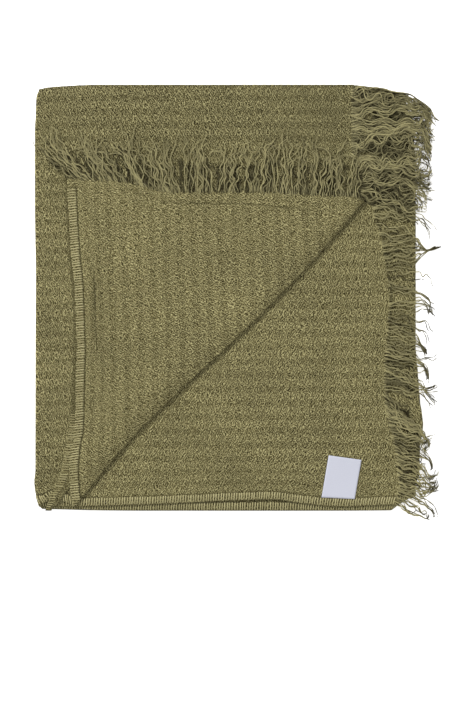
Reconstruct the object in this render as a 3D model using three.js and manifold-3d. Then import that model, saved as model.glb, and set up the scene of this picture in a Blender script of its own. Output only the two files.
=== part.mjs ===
// A linen throw blanket, folded to lie flat. Millimetres, +Z up.
// The throw is folded in half across its width, so its two overlocked edges meet at low Y and the
// fold runs along high Y. The doubled cloth is then folded in thirds along its length, back and
// forth, which makes six layers. The lower right corner of the top layer is turned back over it.
// Plan coordinates: X runs along the throw's length, Y across its width.

import * as THREE from 'three';
import { mergeVertices } from 'three/addons/utils/BufferGeometryUtils.js';
import Module from 'manifold-3d';

const wasm = await Module();
wasm.setup();

// Driving dimensions
const clothThickness = 1.8;
const layerPitch = 2.8;
const nominalRight = 575;
const nominalTop = 633;
const partingGap = 0.3;
const backingWidth = 3;
const backingThickness = 1.7;
const fringeLength = 82;
const strandRadius = 1.1;
const labelThickness = 0.8;

// Small amounts by which the folded throw is uneven
const innerEdgeStep = 1.2;
const topUnevenness = 0.03;
const swell = { periodX: 61, periodY: 83, diagonalPeriod: 47, phaseX: 0.6, phaseY: 1.1, diagonalShare: 0.5 };
const leftSag = 3.6;
const sagStart = 95;
const sagEnd = 40;
const sagFromLevel = 1.4;
const sagOverLevels = 0.25;

// How far into the cloth the places of its edges and folds are felt
const lowerEdgeSpread = 75;
const leftFoldSpread = 75;
const innerEndSpread = 90;
const topFoldSpreadFrom = 530;
const rightFoldSpreadFrom = 430;
const outerEndSpreadFrom = 330;

// The corner that is turned back over the crease
const crease = { x: 62.7, y: 12, toX: 495.3, toY: 460.2 };
const rollRadius = 2.3;
const crownHeight = 3.2;
const crownDistance = 15;
const crownEndFade = 60;
const settleFrom = 30;
const settleOver = 60;
const bowFade = 110;

const halfPitch = layerPitch / 2;
const turnReach = 1.5 * layerPitch + clothThickness / 2;
const hairpinReach = halfPitch + clothThickness / 2;
const rollLength = Math.PI * rollRadius;
const goldenAngle = Math.PI * (3 - Math.sqrt(5));

// Each third of the folded length, as the height of its doubled cloth in layer pitches, and the way
// in which the doubled cloth runs along X
const thirds = {
  inner: { level: 0.5, facing: 1 },
  middle: { level: 2.5, facing: -1 },
  outer: { level: 4.5, facing: 1 },
};

// Overlocked edges: Y of the cloth's edge at places along X
const lowerEdges = {
  inner: [
    { x: 87, y: -1 },
    { x: 200, y: -3.5 },
    { x: 430, y: -4.5 },
    { x: 533, y: -3 },
    { x: 549, y: 6 },
    { x: 575, y: 18 },
  ],
  middle: [
    { x: 4, y: 18 },
    { x: 8, y: 6 },
    { x: 14, y: -2 },
    { x: 185, y: -4.5 },
    { x: 430, y: -4.5 },
    { x: 535, y: -4 },
    { x: 549, y: 5 },
    { x: 575, y: 17 },
  ],
  outerBack: [
    { x: 4, y: 16 },
    { x: 8, y: 5 },
    { x: 14, y: 1.5 },
    { x: 163, y: 4.5 },
    { x: 318, y: 11.4 },
    { x: 356, y: 12.5 },
    { x: 408, y: 6 },
    { x: 460, y: 1.5 },
    { x: 545, y: 4.5 },
  ],
  outerFront: [
    { x: 4, y: 16 },
    { x: 8, y: 6 },
    { x: 14, y: 5 },
    { x: 27, y: 13 },
    { x: 45, y: 11 },
    { x: 60, y: 4 },
    { x: 85, y: -1 },
    { x: 106, y: -1 },
    { x: 143, y: 4 },
    { x: 173, y: 11 },
    { x: 247, y: 14.5 },
    { x: 307, y: 18 },
    { x: 382, y: 18 },
    { x: 441, y: 14 },
    { x: 552, y: 12 },
  ],
};

// Fringed ends: X of the outer side of the fringe's backing at places along Y
const fringedEnds = {
  inner: [
    { y: 0, x: 84 },
    { y: 200, x: 88 },
    { y: 420, x: 82 },
    { y: 633, x: 86 },
  ],
  outerBack: [
    { y: 3, x: 545 },
    { y: 27, x: 551 },
    { y: 72, x: 547 },
    { y: 117, x: 539 },
    { y: 164, x: 530 },
    { y: 214, x: 530 },
    { y: 318, x: 536 },
    { y: 362, x: 530 },
    { y: 402, x: 524 },
    { y: 448, x: 512 },
    { y: 560, x: 513 },
    { y: 600, x: 508 },
    { y: 618, x: 497 },
    { y: 633, x: 481 },
  ],
  outerFront: [
    { y: 12, x: 552 },
    { y: 33, x: 550 },
    { y: 100, x: 544 },
    { y: 165, x: 526 },
    { y: 270, x: 523 },
    { y: 365, x: 516 },
    { y: 443, x: 508 },
    { y: 453, x: 502 },
    { y: 470, x: 494 },
    { y: 500, x: 487 },
    { y: 535, x: 481 },
    { y: 633, x: 481 },
  ],
};

// Outlines of the folds: how far each fold reaches
const leftFoldReach = [
  { y: 0, x: 9 },
  { y: 14, x: 4.5 },
  { y: 33, x: 2 },
  { y: 57, x: 3.7 },
  { y: 240, x: 4 },
  { y: 350, x: 4.5 },
  { y: 450, x: 3 },
  { y: 570, x: 3 },
  { y: 590, x: 5.5 },
  { y: 612, x: 5.5 },
  { y: 633, x: 12 },
];
const rightFoldReach = [
  { y: 17, x: 574 },
  { y: 42, x: 580 },
  { y: 87, x: 581 },
  { y: 124, x: 585.5 },
  { y: 161, x: 581 },
  { y: 199, x: 578 },
  { y: 244, x: 574.5 },
  { y: 460, x: 574.5 },
  { y: 560, x: 572 },
  { y: 600, x: 567 },
  { y: 633, x: 558 },
];
const topFoldReach = [
  { x: 4, y: 622 },
  { x: 12, y: 627 },
  { x: 34, y: 630.5 },
  { x: 100, y: 633 },
  { x: 480, y: 633 },
  { x: 526, y: 627 },
  { x: 547, y: 623 },
  { x: 575, y: 610 },
];

// Sideways bow of the crease along its length
const creaseBow = [
  { along: 0, shift: 2 },
  { along: 70, shift: -3 },
  { along: 135, shift: -6 },
  { along: 200, shift: -5 },
  { along: 335, shift: 2 },
  { along: 460, shift: 5 },
  { along: 560, shift: 3 },
  { along: 622, shift: -1 },
];

// Grid of the cloth: places along X and Y where its mesh has lines, and the steps round each fold
const stationsX = [0, 14, 30, 58, 87, 140, 195, 250, 305, 360, 415, 470, 525, 575];
const stationsY = [0, 14, 45, 95, 145, 195, 245, 300, 355, 410, 460, 510, 565, 605, 633];
const innerEndStation = 87;
const outerEndStation = 525;
const turnSteps = 4;
const rollSteps = 4;
const crownLines = [7, 15, 27, 45, 70];

// The runs of fringe: from where to where they go along the end, the number of strands, the slow wave
// in which the strands lie, and how far they draw together towards their tips
const fringeRuns = {
  underLayer: { fromY: 0, toY: 628, strands: 92, wave: 3.5, waveLength: 46, phaseStep: 0.035, clump: 1.4 },
  topLayer: { fromY: 473, toY: 628, strands: 26, wave: 5, waveLength: 50, phaseStep: 0.04, clump: 1.3 },
  turnedCorner: { fromY: 0, toY: 440, strands: 70, wave: 4, waveLength: 44, phaseStep: 0.033, clump: 1.3 },
  innerEnd: { fromY: 4, toY: 620, strands: 16, wave: 2.5, waveLength: 60, phaseStep: 0.12, clump: 0 },
};

// One strand: its size at places along its length, as shares of its radius and its length
const strandRings = [
  { part: 0.14, size: 1 },
  { part: 0.38, size: 0.95 },
  { part: 0.6, size: 0.88 },
  { part: 0.8, size: 0.75 },
  { part: 1, size: 0 },
];
const strandRootSize = 0.66;
const strandLengthSpread = 0.07;
const strandFreeAfter = 14;
const strandOnFloor = 0.6;
const strandPitch = 2.9;
const strandDropFrom = 6;
const strandDropOver = 42;
const innerStrandSize = 0.55;
const innerStrandStep = 12;
const innerStrandsDropFrom = 95;
const innerStrandsDropTo = 55;
const innerStrandsCarried = 0.6;
const leastStationGap = 6;

// Directions in which the strands leave the cloth, in degrees from +X
const underLayerLay = [
  { at: 0, angle: -20 },
  { at: 60, angle: -15 },
  { at: 150, angle: -9 },
  { at: 300, angle: -9 },
  { at: 450, angle: -5 },
  { at: 633, angle: -6 },
];
const topLayerLay = [
  { at: 455, angle: -14 },
  { at: 500, angle: -4 },
  { at: 560, angle: 2 },
  { at: 610, angle: -3 },
  { at: 633, angle: -7 },
];
const turnedCornerLay = [
  { at: 40, angle: 122 },
  { at: 90, angle: 112 },
  { at: 160, angle: 100 },
  { at: 260, angle: 90 },
  { at: 380, angle: 86 },
  { at: 495, angle: 92 },
];

// The label, by the plan places of its corners
const labelCorners = {
  topLeft: { x: 443.3, y: 78.7 },
  topRight: { x: 492.4, y: 71.9 },
  lowerLeft: { x: 432.6, y: 16.6 },
  lowerRight: { x: 482.3, y: 14.2 },
};
const labelSeat = 0.2;
const labelLift = 1.6;
const labelSteps = 4;

// Colours
const linenColour = 0x7c7553;
const labelColour = 0xdcdde8;

// Value on the straight lines between a table's rows, held level past its ends
function lookUp(table, key, value, at) {
  const last = table.length - 1;
  if (at <= table[0][key]) return table[0][value];
  if (at >= table[last][key]) return table[last][value];
  let row = 0;
  while (table[row + 1][key] < at) row += 1;
  const span = table[row + 1][key] - table[row][key];
  const part = (at - table[row][key]) / span;
  return THREE.MathUtils.lerp(table[row][value], table[row + 1][value], part);
}

function ease(value) {
  return THREE.MathUtils.smoothstep(value, 0, 1);
}

function levelHeight(level) {
  return clothThickness / 2 + level * layerPitch;
}

// The folded stack isn't quite even: it swells a little here and there, and it sags on the left,
// where the inner end of the throw doesn't reach the fold
function settled({ x, y, z }) {
  const crossed = Math.sin(x / swell.periodX + swell.phaseX) * Math.sin(y / swell.periodY + swell.phaseY);
  const slanted = swell.diagonalShare * Math.sin((x + y) / swell.diagonalPeriod);
  const swelling = (topUnevenness * (crossed + slanted)) / (1 + swell.diagonalShare);
  const sagging = THREE.MathUtils.clamp((z - levelHeight(sagFromLevel)) / (sagOverLevels * layerPitch), 0, 1);
  const sag = leftSag * (1 - ease((x - sagEnd) / (sagStart - sagEnd))) * sagging;
  return new THREE.Vector3(x, y, z + (z - levelHeight(0)) * swelling - sag);
}

// Plan place of a grid point, worked out from its nominal place
function planPlace(third, half, nominalX, nominalY) {
  const outline = third === 'outer' ? third + half : third;
  let x = nominalX;
  if (third !== 'outer') {
    const shift = lookUp(rightFoldReach, 'y', 'x', nominalY) - turnReach - nominalRight;
    x += shift * ease((nominalX - rightFoldSpreadFrom) / (nominalRight - rightFoldSpreadFrom));
  }
  if (third !== 'inner') {
    const shift = lookUp(leftFoldReach, 'y', 'x', nominalY) + turnReach;
    x += shift * (1 - ease(nominalX / leftFoldSpread));
  }
  if (third === 'inner') {
    const end = lookUp(fringedEnds.inner, 'y', 'x', nominalY) + backingWidth + partingGap;
    x += (end - innerEndStation) * (1 - ease((nominalX - innerEndStation) / innerEndSpread));
  }
  if (third === 'outer') {
    const end = lookUp(fringedEnds[outline], 'y', 'x', nominalY) - backingWidth - partingGap;
    const reached = (nominalX - outerEndSpreadFrom) / (outerEndStation - outerEndSpreadFrom);
    x += (end - outerEndStation) * ease(reached);
  }
  const step = third !== 'outer' && half === 'Front' ? innerEdgeStep : 0;
  const edge = lookUp(lowerEdges[outline], 'x', 'y', x) + step;
  const top = lookUp(topFoldReach, 'x', 'y', x) - hairpinReach - nominalTop;
  const nearTop = ease((nominalY - topFoldSpreadFrom) / (nominalTop - topFoldSpreadFrom));
  const y = nominalY + edge * (1 - ease(nominalY / lowerEdgeSpread)) + top * nearTop;
  return { x, y };
}

// Directions of the crease in plan: along it, and square to it towards the corner
const creaseSpan = Math.hypot(crease.toX - crease.x, crease.toY - crease.y);
const alongX = (crease.toX - crease.x) / creaseSpan;
const alongY = (crease.toY - crease.y) / creaseSpan;
const squareX = alongY;
const squareY = -alongX;

function pastCrease(x, y) {
  return (x - crease.x) * squareX + (y - crease.y) * squareY;
}

// The top layer's middle surface before it settles: flat up to the crease, then rolled over and
// lying on itself
function topLayer(x, y) {
  const past = pastCrease(x, y);
  const along = (x - crease.x) * alongX + (y - crease.y) * alongY;
  const bow = lookUp(creaseBow, 'along', 'shift', along);
  let across = past;
  let lift = 0;
  if (past <= 0) {
    across = past + bow * (1 - ease(-past / bowFade));
  } else if (past < rollLength) {
    const angle = past / rollRadius;
    across = rollRadius * Math.sin(angle) + bow;
    lift = rollRadius * (1 - Math.cos(angle));
  } else {
    const back = past - rollLength;
    const ends = ease(along / crownEndFade) * ease((creaseSpan - along) / crownEndFade);
    const crown = crownHeight * (back / crownDistance) * Math.exp(1 - back / crownDistance) * ends;
    across = -back + bow * (1 - ease(back / bowFade));
    lift = 2 * rollRadius + crown;
    lift -= (2 * rollRadius - layerPitch) * ease((back - settleFrom) / settleOver);
  }
  const atX = crease.x + along * alongX + across * squareX;
  const atY = crease.y + along * alongY + across * squareY;
  return new THREE.Vector3(atX, atY, levelHeight(5) + lift);
}

// The cloth's columns along its length and rows across its width
function clothColumns() {
  const columns = [];
  const flat = (third, list) => list.forEach((x) => columns.push({ third, x, turn: 0 }));
  const turn = (from, to, x, side) => {
    for (let step = 1; step < turnSteps; step += 1) {
      columns.push({ third: from, to, x, side, turn: (Math.PI * step) / turnSteps });
    }
  };
  flat('inner', stationsX.filter((x) => x >= innerEndStation));
  turn('inner', 'middle', nominalRight, 1);
  flat('middle', stationsX.slice().reverse());
  turn('middle', 'outer', 0, -1);
  flat('outer', stationsX.filter((x) => x <= outerEndStation));
  return columns;
}

function clothRows() {
  const rows = stationsY.map((y) => ({ half: 'Back', y, angle: 0 }));
  for (let step = 1; step < turnSteps; step += 1) {
    rows.push({ half: 'Back', y: nominalTop, angle: (Math.PI * step) / turnSteps });
  }
  stationsY.slice().reverse().forEach((y) => rows.push({ half: 'Front', y, angle: Math.PI }));
  return rows;
}

// Middle surface of the doubled cloth at one column and row
function clothPoint(column, row) {
  const plan = planPlace(column.third, row.half, column.x, row.y);
  const facing = thirds[column.third].facing;
  const offset = -halfPitch * Math.cos(row.angle);
  const y = plan.y + halfPitch * Math.sin(row.angle);
  if (column.turn === 0) {
    return settled({ x: plan.x, y, z: levelHeight(thirds[column.third].level) + facing * offset });
  }
  const centre = levelHeight((thirds[column.third].level + thirds[column.to].level) / 2);
  const radius = layerPitch - column.side * offset;
  const x = plan.x + column.side * radius * Math.sin(column.turn);
  return settled({ x, y, z: centre - radius * Math.cos(column.turn) });
}

// Parts of one polygon of plan points on the near and far side of a line past the crease
function splitPolygon(polygon, distance) {
  const near = [];
  const far = [];
  polygon.forEach((point, index) => {
    const next = polygon[(index + 1) % polygon.length];
    const here = pastCrease(point.x, point.y) - distance;
    const there = pastCrease(next.x, next.y) - distance;
    if (here <= 0) near.push(point);
    if (here >= 0) far.push(point);
    if (here * there < 0) {
      const part = here / (here - there);
      const cut = {
        x: THREE.MathUtils.lerp(point.x, next.x, part),
        y: THREE.MathUtils.lerp(point.y, next.y, part),
      };
      near.push(cut);
      far.push(cut);
    }
  });
  return [near, far].filter((piece) => piece.length > 2);
}

// Keeps each point of a surface once, so that neighbouring faces share it
class PointStore {
  constructor() {
    this.points = [];
    this.seen = new Map();
  }

  add(point) {
    const key = `${point.x.toFixed(3)} ${point.y.toFixed(3)} ${point.z.toFixed(3)}`;
    if (!this.seen.has(key)) {
      this.seen.set(key, this.points.length);
      this.points.push(point);
    }
    return this.seen.get(key);
  }
}

// Closed solid of a sheet: its middle surface thickened to both sides, with a rim round its border
function sheetSolid(points, triangles, thickness) {
  const normals = points.map(() => new THREE.Vector3());
  triangles.forEach((corners) => {
    corners.forEach((corner, index) => {
      const toNext = points[corners[(index + 1) % 3]].clone().sub(points[corner]);
      const toLast = points[corners[(index + 2) % 3]].clone().sub(points[corner]);
      const angle = toNext.angleTo(toLast);
      normals[corner].addScaledVector(toNext.cross(toLast).normalize(), angle);
    });
  });
  const count = points.length;
  const positions = [];
  [1, -1].forEach((side) => {
    points.forEach((point, index) => {
      const shifted = point.clone().addScaledVector(normals[index].normalize(), (side * thickness) / 2);
      positions.push(shifted.x, shifted.y, shifted.z);
    });
  });
  const indices = [];
  const openEdges = new Map();
  triangles.forEach(([a, b, c]) => {
    indices.push(a, b, c, a + count, c + count, b + count);
    [[a, b], [b, c], [c, a]].forEach(([from, to]) => {
      if (!openEdges.delete(`${to} ${from}`)) openEdges.set(`${from} ${to}`, [from, to]);
    });
  });
  openEdges.forEach(([from, to]) => {
    indices.push(to, from, from + count, to, from + count, to + count);
  });
  const geometry = new THREE.BufferGeometry();
  geometry.setAttribute('position', new THREE.Float32BufferAttribute(positions, 3));
  geometry.setIndex(indices);
  return geometry;
}

// Faces of the cloth's middle surface. The top layer is cut along lines beside the crease, so that
// its roll and the crown behind it are smooth.
function clothGeometry() {
  const columns = clothColumns();
  const rows = clothRows();
  const store = new PointStore();
  const triangles = [];
  const rollLines = Array.from({ length: rollSteps + 1 }, (_, step) => (rollLength * step) / rollSteps);
  const cutLines = [...rollLines, ...crownLines.map((distance) => rollLength + distance)];
  const addFan = (corners) => {
    for (let corner = 1; corner < corners.length - 1; corner += 1) {
      triangles.push([corners[0], corners[corner], corners[corner + 1]]);
    }
  };
  for (let c = 0; c < columns.length - 1; c += 1) {
    for (let r = 0; r < rows.length - 1; r += 1) {
      const cell = [[c, r], [c + 1, r], [c + 1, r + 1], [c, r + 1]];
      const flatTop = cell.every(([i, j]) => {
        return columns[i].third === 'outer' && rows[j].half === 'Front' && rows[j].angle === Math.PI;
      });
      if (!flatTop) {
        addFan(cell.map(([i, j]) => store.add(clothPoint(columns[i], rows[j]))));
        continue;
      }
      let pieces = [cell.map(([i, j]) => planPlace('outer', 'Front', columns[i].x, rows[j].y))];
      cutLines.forEach((distance) => {
        pieces = pieces.flatMap((piece) => splitPolygon(piece, distance));
      });
      pieces.forEach((piece) => {
        const corners = piece.map((point) => store.add(settled(topLayer(point.x, point.y))));
        addFan(corners.filter((corner, index) => corner !== corners[(index + 1) % corners.length]));
      });
    }
  }
  return sheetSolid(store.points, triangles, clothThickness);
}

// One strand of fringe: a tapering three-sided solid along its path, pointed at its tip
function strandGeometry(path) {
  const positions = [];
  const indices = [];
  const last = path.length - 1;
  const up = new THREE.Vector3(0, 0, 1);
  for (let ring = 0; ring < last; ring += 1) {
    const along = path[ring + 1].point.clone().sub(path[Math.max(ring - 1, 0)].point).normalize();
    const side = along.clone().cross(up).normalize();
    const above = side.clone().cross(along);
    for (let corner = 0; corner < 3; corner += 1) {
      const angle = Math.PI / 2 + (corner * 2 * Math.PI) / 3;
      const place = path[ring].point.clone();
      place.addScaledVector(side, Math.cos(angle) * path[ring].radius);
      place.addScaledVector(above, Math.sin(angle) * path[ring].radius);
      positions.push(place.x, place.y, place.z);
    }
  }
  const tip = path[last].point;
  positions.push(tip.x, tip.y, tip.z);
  indices.push(0, 1, 2);
  for (let ring = 0; ring < last - 1; ring += 1) {
    for (let corner = 0; corner < 3; corner += 1) {
      const a = ring * 3 + corner;
      const b = ring * 3 + ((corner + 1) % 3);
      indices.push(a, a + 3, b, b, a + 3, b + 3);
    }
  }
  const tipRing = (last - 1) * 3;
  for (let corner = 0; corner < 3; corner += 1) {
    indices.push(tipRing + corner, last * 3, tipRing + ((corner + 1) % 3));
  }
  const geometry = new THREE.BufferGeometry();
  geometry.setAttribute('position', new THREE.Float32BufferAttribute(positions, 3));
  geometry.setIndex(indices);
  return geometry;
}

// Path of one strand: out of its backing, in a slow wave, at the heights of a rest function. The
// golden angle makes neighbouring strands differ in length.
function strandPath(root, run, index, direction, restHeight, radius) {
  const angle = THREE.MathUtils.degToRad(direction);
  const unevenness = strandLengthSpread * (Math.sin(index * goldenAngle) - 1);
  const length = fringeLength * (1 + unevenness);
  const clumpSide = (index % 3) - 1;
  const phase = index * run.phaseStep;
  const rings = strandRings.map(({ part, size }) => ({ distance: part * length, size }));
  rings.unshift({ distance: -backingWidth / 2, size: strandRootSize });
  return rings.map(({ distance, size }) => {
    const part = Math.max(distance, 0) / length;
    const wave = Math.sin(2 * Math.PI * (distance / run.waveLength + phase));
    const still = Math.sin(2 * Math.PI * phase);
    const sway = run.wave * (wave - still) * ease(part * 3) - run.clump * clumpSide * part;
    const x = root.x + Math.cos(angle) * distance - Math.sin(angle) * sway;
    const y = root.y + Math.sin(angle) * distance + Math.cos(angle) * sway;
    const freed = ease(distance / strandFreeAfter);
    const point = settled({ x, y, z: THREE.MathUtils.lerp(root.z, restHeight(x, y), freed) });
    return { point, radius: radius * size };
  });
}

function toManifold(geometry) {
  geometry.deleteAttribute('normal');
  geometry.deleteAttribute('uv');
  const merged = mergeVertices(geometry, 1e-4);
  return new wasm.Manifold(new wasm.Mesh({
    numProp: 3,
    vertProperties: new Float32Array(merged.attributes.position.array),
    triVerts: new Uint32Array(merged.index.array),
  }));
}

function toGeometry(solid) {
  const mesh = solid.getMesh();
  const geometry = new THREE.BufferGeometry();
  geometry.setAttribute('position', new THREE.Float32BufferAttribute(mesh.vertProperties, 3));
  geometry.setIndex(Array.from(mesh.triVerts));
  return geometry;
}

// A backing strip with its strands fused into it
function fringeGeometry(strip, strands) {
  const stripPoints = strip.flatMap((station) => [settled(station.near), settled(station.far)]);
  const triangles = [];
  for (let index = 0; index < strip.length - 1; index += 1) {
    const a = index * 2;
    triangles.push([a, a + 1, a + 3], [a, a + 3, a + 2]);
  }
  let solid = toManifold(sheetSolid(stripPoints, triangles, backingThickness));
  strands.forEach((strand) => {
    solid = solid.add(toManifold(strand));
  });
  return toGeometry(solid);
}

// How far a plan point lies outside the layers under the outer third
function overhang(x, y) {
  const pastRight = x - lookUp(rightFoldReach, 'y', 'x', y);
  const pastLower = lookUp(lowerEdges.middle, 'x', 'y', x) - y;
  return Math.max(pastRight, pastLower, 0);
}

// Height at which a strand lies, where it rests on the layers below and falls beyond them
function restingOn(level, stackedStrands) {
  const clear = clothThickness / 2 + partingGap + strandRadius;
  const onCloth = levelHeight(level) + clear;
  const onFloor = strandOnFloor + stackedStrands * strandPitch;
  return (x, y) => {
    const fallen = ease((overhang(x, y) - strandDropFrom) / strandDropOver);
    return THREE.MathUtils.lerp(onCloth, onFloor, fallen);
  };
}

// Plan place on the straight edge between two neighbouring stations of the cloth
function edgePlace(third, half, nominalX, nominalY) {
  const above = stationsY.findIndex((y) => y >= nominalY);
  const from = stationsY[Math.max(above - 1, 0)];
  const to = stationsY[above];
  const low = planPlace(third, half, nominalX, from);
  const high = planPlace(third, half, nominalX, to);
  const part = to > from ? (nominalY - from) / (to - from) : 0;
  return {
    x: THREE.MathUtils.lerp(low.x, high.x, part),
    y: THREE.MathUtils.lerp(low.y, high.y, part),
  };
}

// Places along a backing, from low to high Y, at the cloth's own stations
function backingStations(third, half, { fromY, toY }, place) {
  const side = third === 'inner' ? -1 : 1;
  const nominalX = third === 'inner' ? innerEndStation : outerEndStation;
  const between = stationsY.filter((y) => y > fromY + leastStationGap && y < toY - leastStationGap);
  return [fromY, ...between, toY].map((nominalY) => {
    const { x, y } = edgePlace(third, half, nominalX, nominalY);
    const near = place(x + side * partingGap, y);
    const far = place(x + side * (partingGap + backingWidth), y);
    return { near, far };
  });
}

// Roots of a run's strands, evenly spaced along the far side of its backing
function rootsAlong(strip, count) {
  const curve = new THREE.CurvePath();
  for (let index = 0; index < strip.length - 1; index += 1) {
    curve.add(new THREE.LineCurve3(strip[index].far, strip[index + 1].far));
  }
  return Array.from({ length: count }, (_, index) => curve.getPointAt((index + 0.5) / count));
}

// Fringe of the layer under the turned-back corner
function underLayerFringe() {
  const height = levelHeight(4);
  const run = fringeRuns.underLayer;
  const strip = backingStations('outer', 'Back', run, (x, y) => new THREE.Vector3(x, y, height));
  const rest = restingOn(3, 0);
  const strands = rootsAlong(strip, run.strands).map((root, index) => {
    const direction = lookUp(underLayerLay, 'at', 'angle', root.y);
    return strandGeometry(strandPath(root, run, index, direction, rest, strandRadius));
  });
  return fringeGeometry(strip, strands);
}

// Fringe of the top layer, from the fold across the width to the crease
function topLayerFringe() {
  const run = fringeRuns.topLayer;
  const strip = backingStations('outer', 'Front', run, topLayer);
  const rest = restingOn(4, 1);
  const strands = rootsAlong(strip, run.strands).map((root, index) => {
    const direction = lookUp(topLayerLay, 'at', 'angle', root.y);
    return strandGeometry(strandPath(root, run, index, direction, rest, strandRadius));
  });
  return fringeGeometry(strip, strands);
}

// Fringe along the upper edge of the turned-back corner
function turnedCornerFringe() {
  const run = fringeRuns.turnedCorner;
  const strip = backingStations('outer', 'Front', run, topLayer);
  const rest = () => levelHeight(5) + clothThickness / 2 + partingGap + strandRadius;
  const strands = rootsAlong(strip, run.strands).map((root, index) => {
    const direction = lookUp(turnedCornerLay, 'at', 'angle', root.x);
    return strandGeometry(strandPath(root, run, index, direction, rest, strandRadius));
  });
  return fringeGeometry(strip, strands);
}

// Fringe of the inner end of one half of the width, which lies under the fold on the left
function innerEndFringe(half, level) {
  const run = fringeRuns.innerEnd;
  const height = levelHeight(level);
  const radius = innerStrandSize * strandRadius;
  const strip = backingStations('inner', half, run, (x, y) => new THREE.Vector3(x, y, height));
  const carried = innerStrandsCarried * (height - levelHeight(0));
  const rest = (x) => {
    const reached = (x - innerStrandsDropTo) / (innerStrandsDropFrom - innerStrandsDropTo);
    return strandOnFloor + carried * ease(reached);
  };
  const strands = rootsAlong(strip, run.strands).map((root, index) => {
    const shifted = root.clone();
    shifted.y += level * innerStrandStep;
    return strandGeometry(strandPath(shifted, run, index, 180, rest, radius));
  });
  return fringeGeometry(strip, strands);
}

// The sewn label: a small sheet lying on the under layer, its free upper end a little raised
function labelGeometry() {
  const { topLeft, topRight, lowerLeft, lowerRight } = labelCorners;
  const base = levelHeight(4) + clothThickness / 2 + partingGap + labelThickness / 2;
  const points = [];
  const triangles = [];
  const across = labelSteps + 1;
  for (let row = 0; row <= labelSteps; row += 1) {
    for (let column = 0; column <= labelSteps; column += 1) {
      const u = column / labelSteps;
      const v = row / labelSteps;
      const leftX = THREE.MathUtils.lerp(lowerLeft.x, topLeft.x, v);
      const leftY = THREE.MathUtils.lerp(lowerLeft.y, topLeft.y, v);
      const rightX = THREE.MathUtils.lerp(lowerRight.x, topRight.x, v);
      const rightY = THREE.MathUtils.lerp(lowerRight.y, topRight.y, v);
      const x = THREE.MathUtils.lerp(leftX, rightX, u);
      const y = THREE.MathUtils.lerp(leftY, rightY, u);
      points.push(settled({ x, y, z: base + labelSeat + labelLift * v * v }));
      if (row < labelSteps && column < labelSteps) {
        const a = row * across + column;
        triangles.push([a, a + 1, a + across + 1], [a, a + across + 1, a + across]);
      }
    }
  }
  return sheetSolid(points, triangles, labelThickness);
}

// Materials
const linen = new THREE.MeshStandardMaterial({ color: linenColour, roughness: 0.9, metalness: 0 });
const threads = new THREE.MeshStandardMaterial({ color: linenColour, roughness: 0.85, metalness: 0 });
const ribbon = new THREE.MeshStandardMaterial({ color: labelColour, roughness: 0.6, metalness: 0 });

function addPiece(group, name, geometry, material) {
  geometry.computeVertexNormals();
  const mesh = new THREE.Mesh(geometry, material);
  mesh.name = name;
  group.add(mesh);
}

const throwBlanket = new THREE.Group();
addPiece(throwBlanket, 'throw_cloth', clothGeometry(), linen);
addPiece(throwBlanket, 'fringe_under_layer', underLayerFringe(), threads);
addPiece(throwBlanket, 'fringe_top_layer', topLayerFringe(), threads);
addPiece(throwBlanket, 'fringe_turned_corner', turnedCornerFringe(), threads);
addPiece(throwBlanket, 'fringe_inner_lower', innerEndFringe('Back', 0), threads);
addPiece(throwBlanket, 'fringe_inner_upper', innerEndFringe('Front', 1), threads);
addPiece(throwBlanket, 'side_label', labelGeometry(), ribbon);

// The origin is the middle of the throw's footprint, on the surface that it lies on
const bounds = new THREE.Box3().setFromObject(throwBlanket);
const middle = bounds.getCenter(new THREE.Vector3());
throwBlanket.position.set(-middle.x, -middle.y, -bounds.min.z);

export default throwBlanket;
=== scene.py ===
"""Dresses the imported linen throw: woven cloth, overlocked edges, raw fringes and a sewn label.

Places are millimetres on the plan of the folded throw, where X runs along its length, Y across its
width and Z up from the surface that it lies on. Plan turns them to metres in the model's frame.
The cloth itself has two coordinates of its own: along, from the throw's inner end to its outer end,
and across, from one overlocked edge to the other.
"""

import logging
import math
from collections.abc import Callable
from dataclasses import dataclass
from enum import Enum
from functools import partial
from typing import Any

import bpy
import numpy as np
from bpy.types import Material, Node, NodeSocket, NodeTree, Object
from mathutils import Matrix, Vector


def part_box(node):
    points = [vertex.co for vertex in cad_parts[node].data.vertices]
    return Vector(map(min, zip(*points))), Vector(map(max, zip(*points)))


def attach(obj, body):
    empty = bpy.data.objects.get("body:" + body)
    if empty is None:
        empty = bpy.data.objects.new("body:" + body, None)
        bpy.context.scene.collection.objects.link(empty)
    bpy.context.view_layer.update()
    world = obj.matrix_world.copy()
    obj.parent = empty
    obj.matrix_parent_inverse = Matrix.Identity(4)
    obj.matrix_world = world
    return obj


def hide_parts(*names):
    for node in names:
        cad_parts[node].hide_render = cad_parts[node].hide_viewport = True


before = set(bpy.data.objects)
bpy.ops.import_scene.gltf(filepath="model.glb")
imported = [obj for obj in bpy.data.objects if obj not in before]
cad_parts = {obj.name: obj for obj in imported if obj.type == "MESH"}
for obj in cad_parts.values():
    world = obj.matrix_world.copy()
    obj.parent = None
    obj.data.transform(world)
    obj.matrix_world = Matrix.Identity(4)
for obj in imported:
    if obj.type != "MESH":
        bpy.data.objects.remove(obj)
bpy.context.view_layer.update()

LOG = logging.getLogger("throw")


class Side(Enum):
    """A side of the cloth: OUTSIDE faces out of the doubled cloth, INSIDE faces its other half."""

    OUTSIDE = -1
    INSIDE = 1


class Third(Enum):
    """A third of the folded length, from the bottom of the stack up."""

    INNER = "inner"
    MIDDLE = "middle"
    OUTER = "outer"


class Half(Enum):
    """A half of the width: BACK carries the label, FRONT has the turned-back corner."""

    BACK = "back"
    FRONT = "front"


def ease(value: np.ndarray | float) -> np.ndarray:
    """Returns a smooth step from 0 to 1 as value goes from 0 to 1."""
    part = np.clip(value, 0.0, 1.0)
    return part * part * (3.0 - 2.0 * part)


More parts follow.
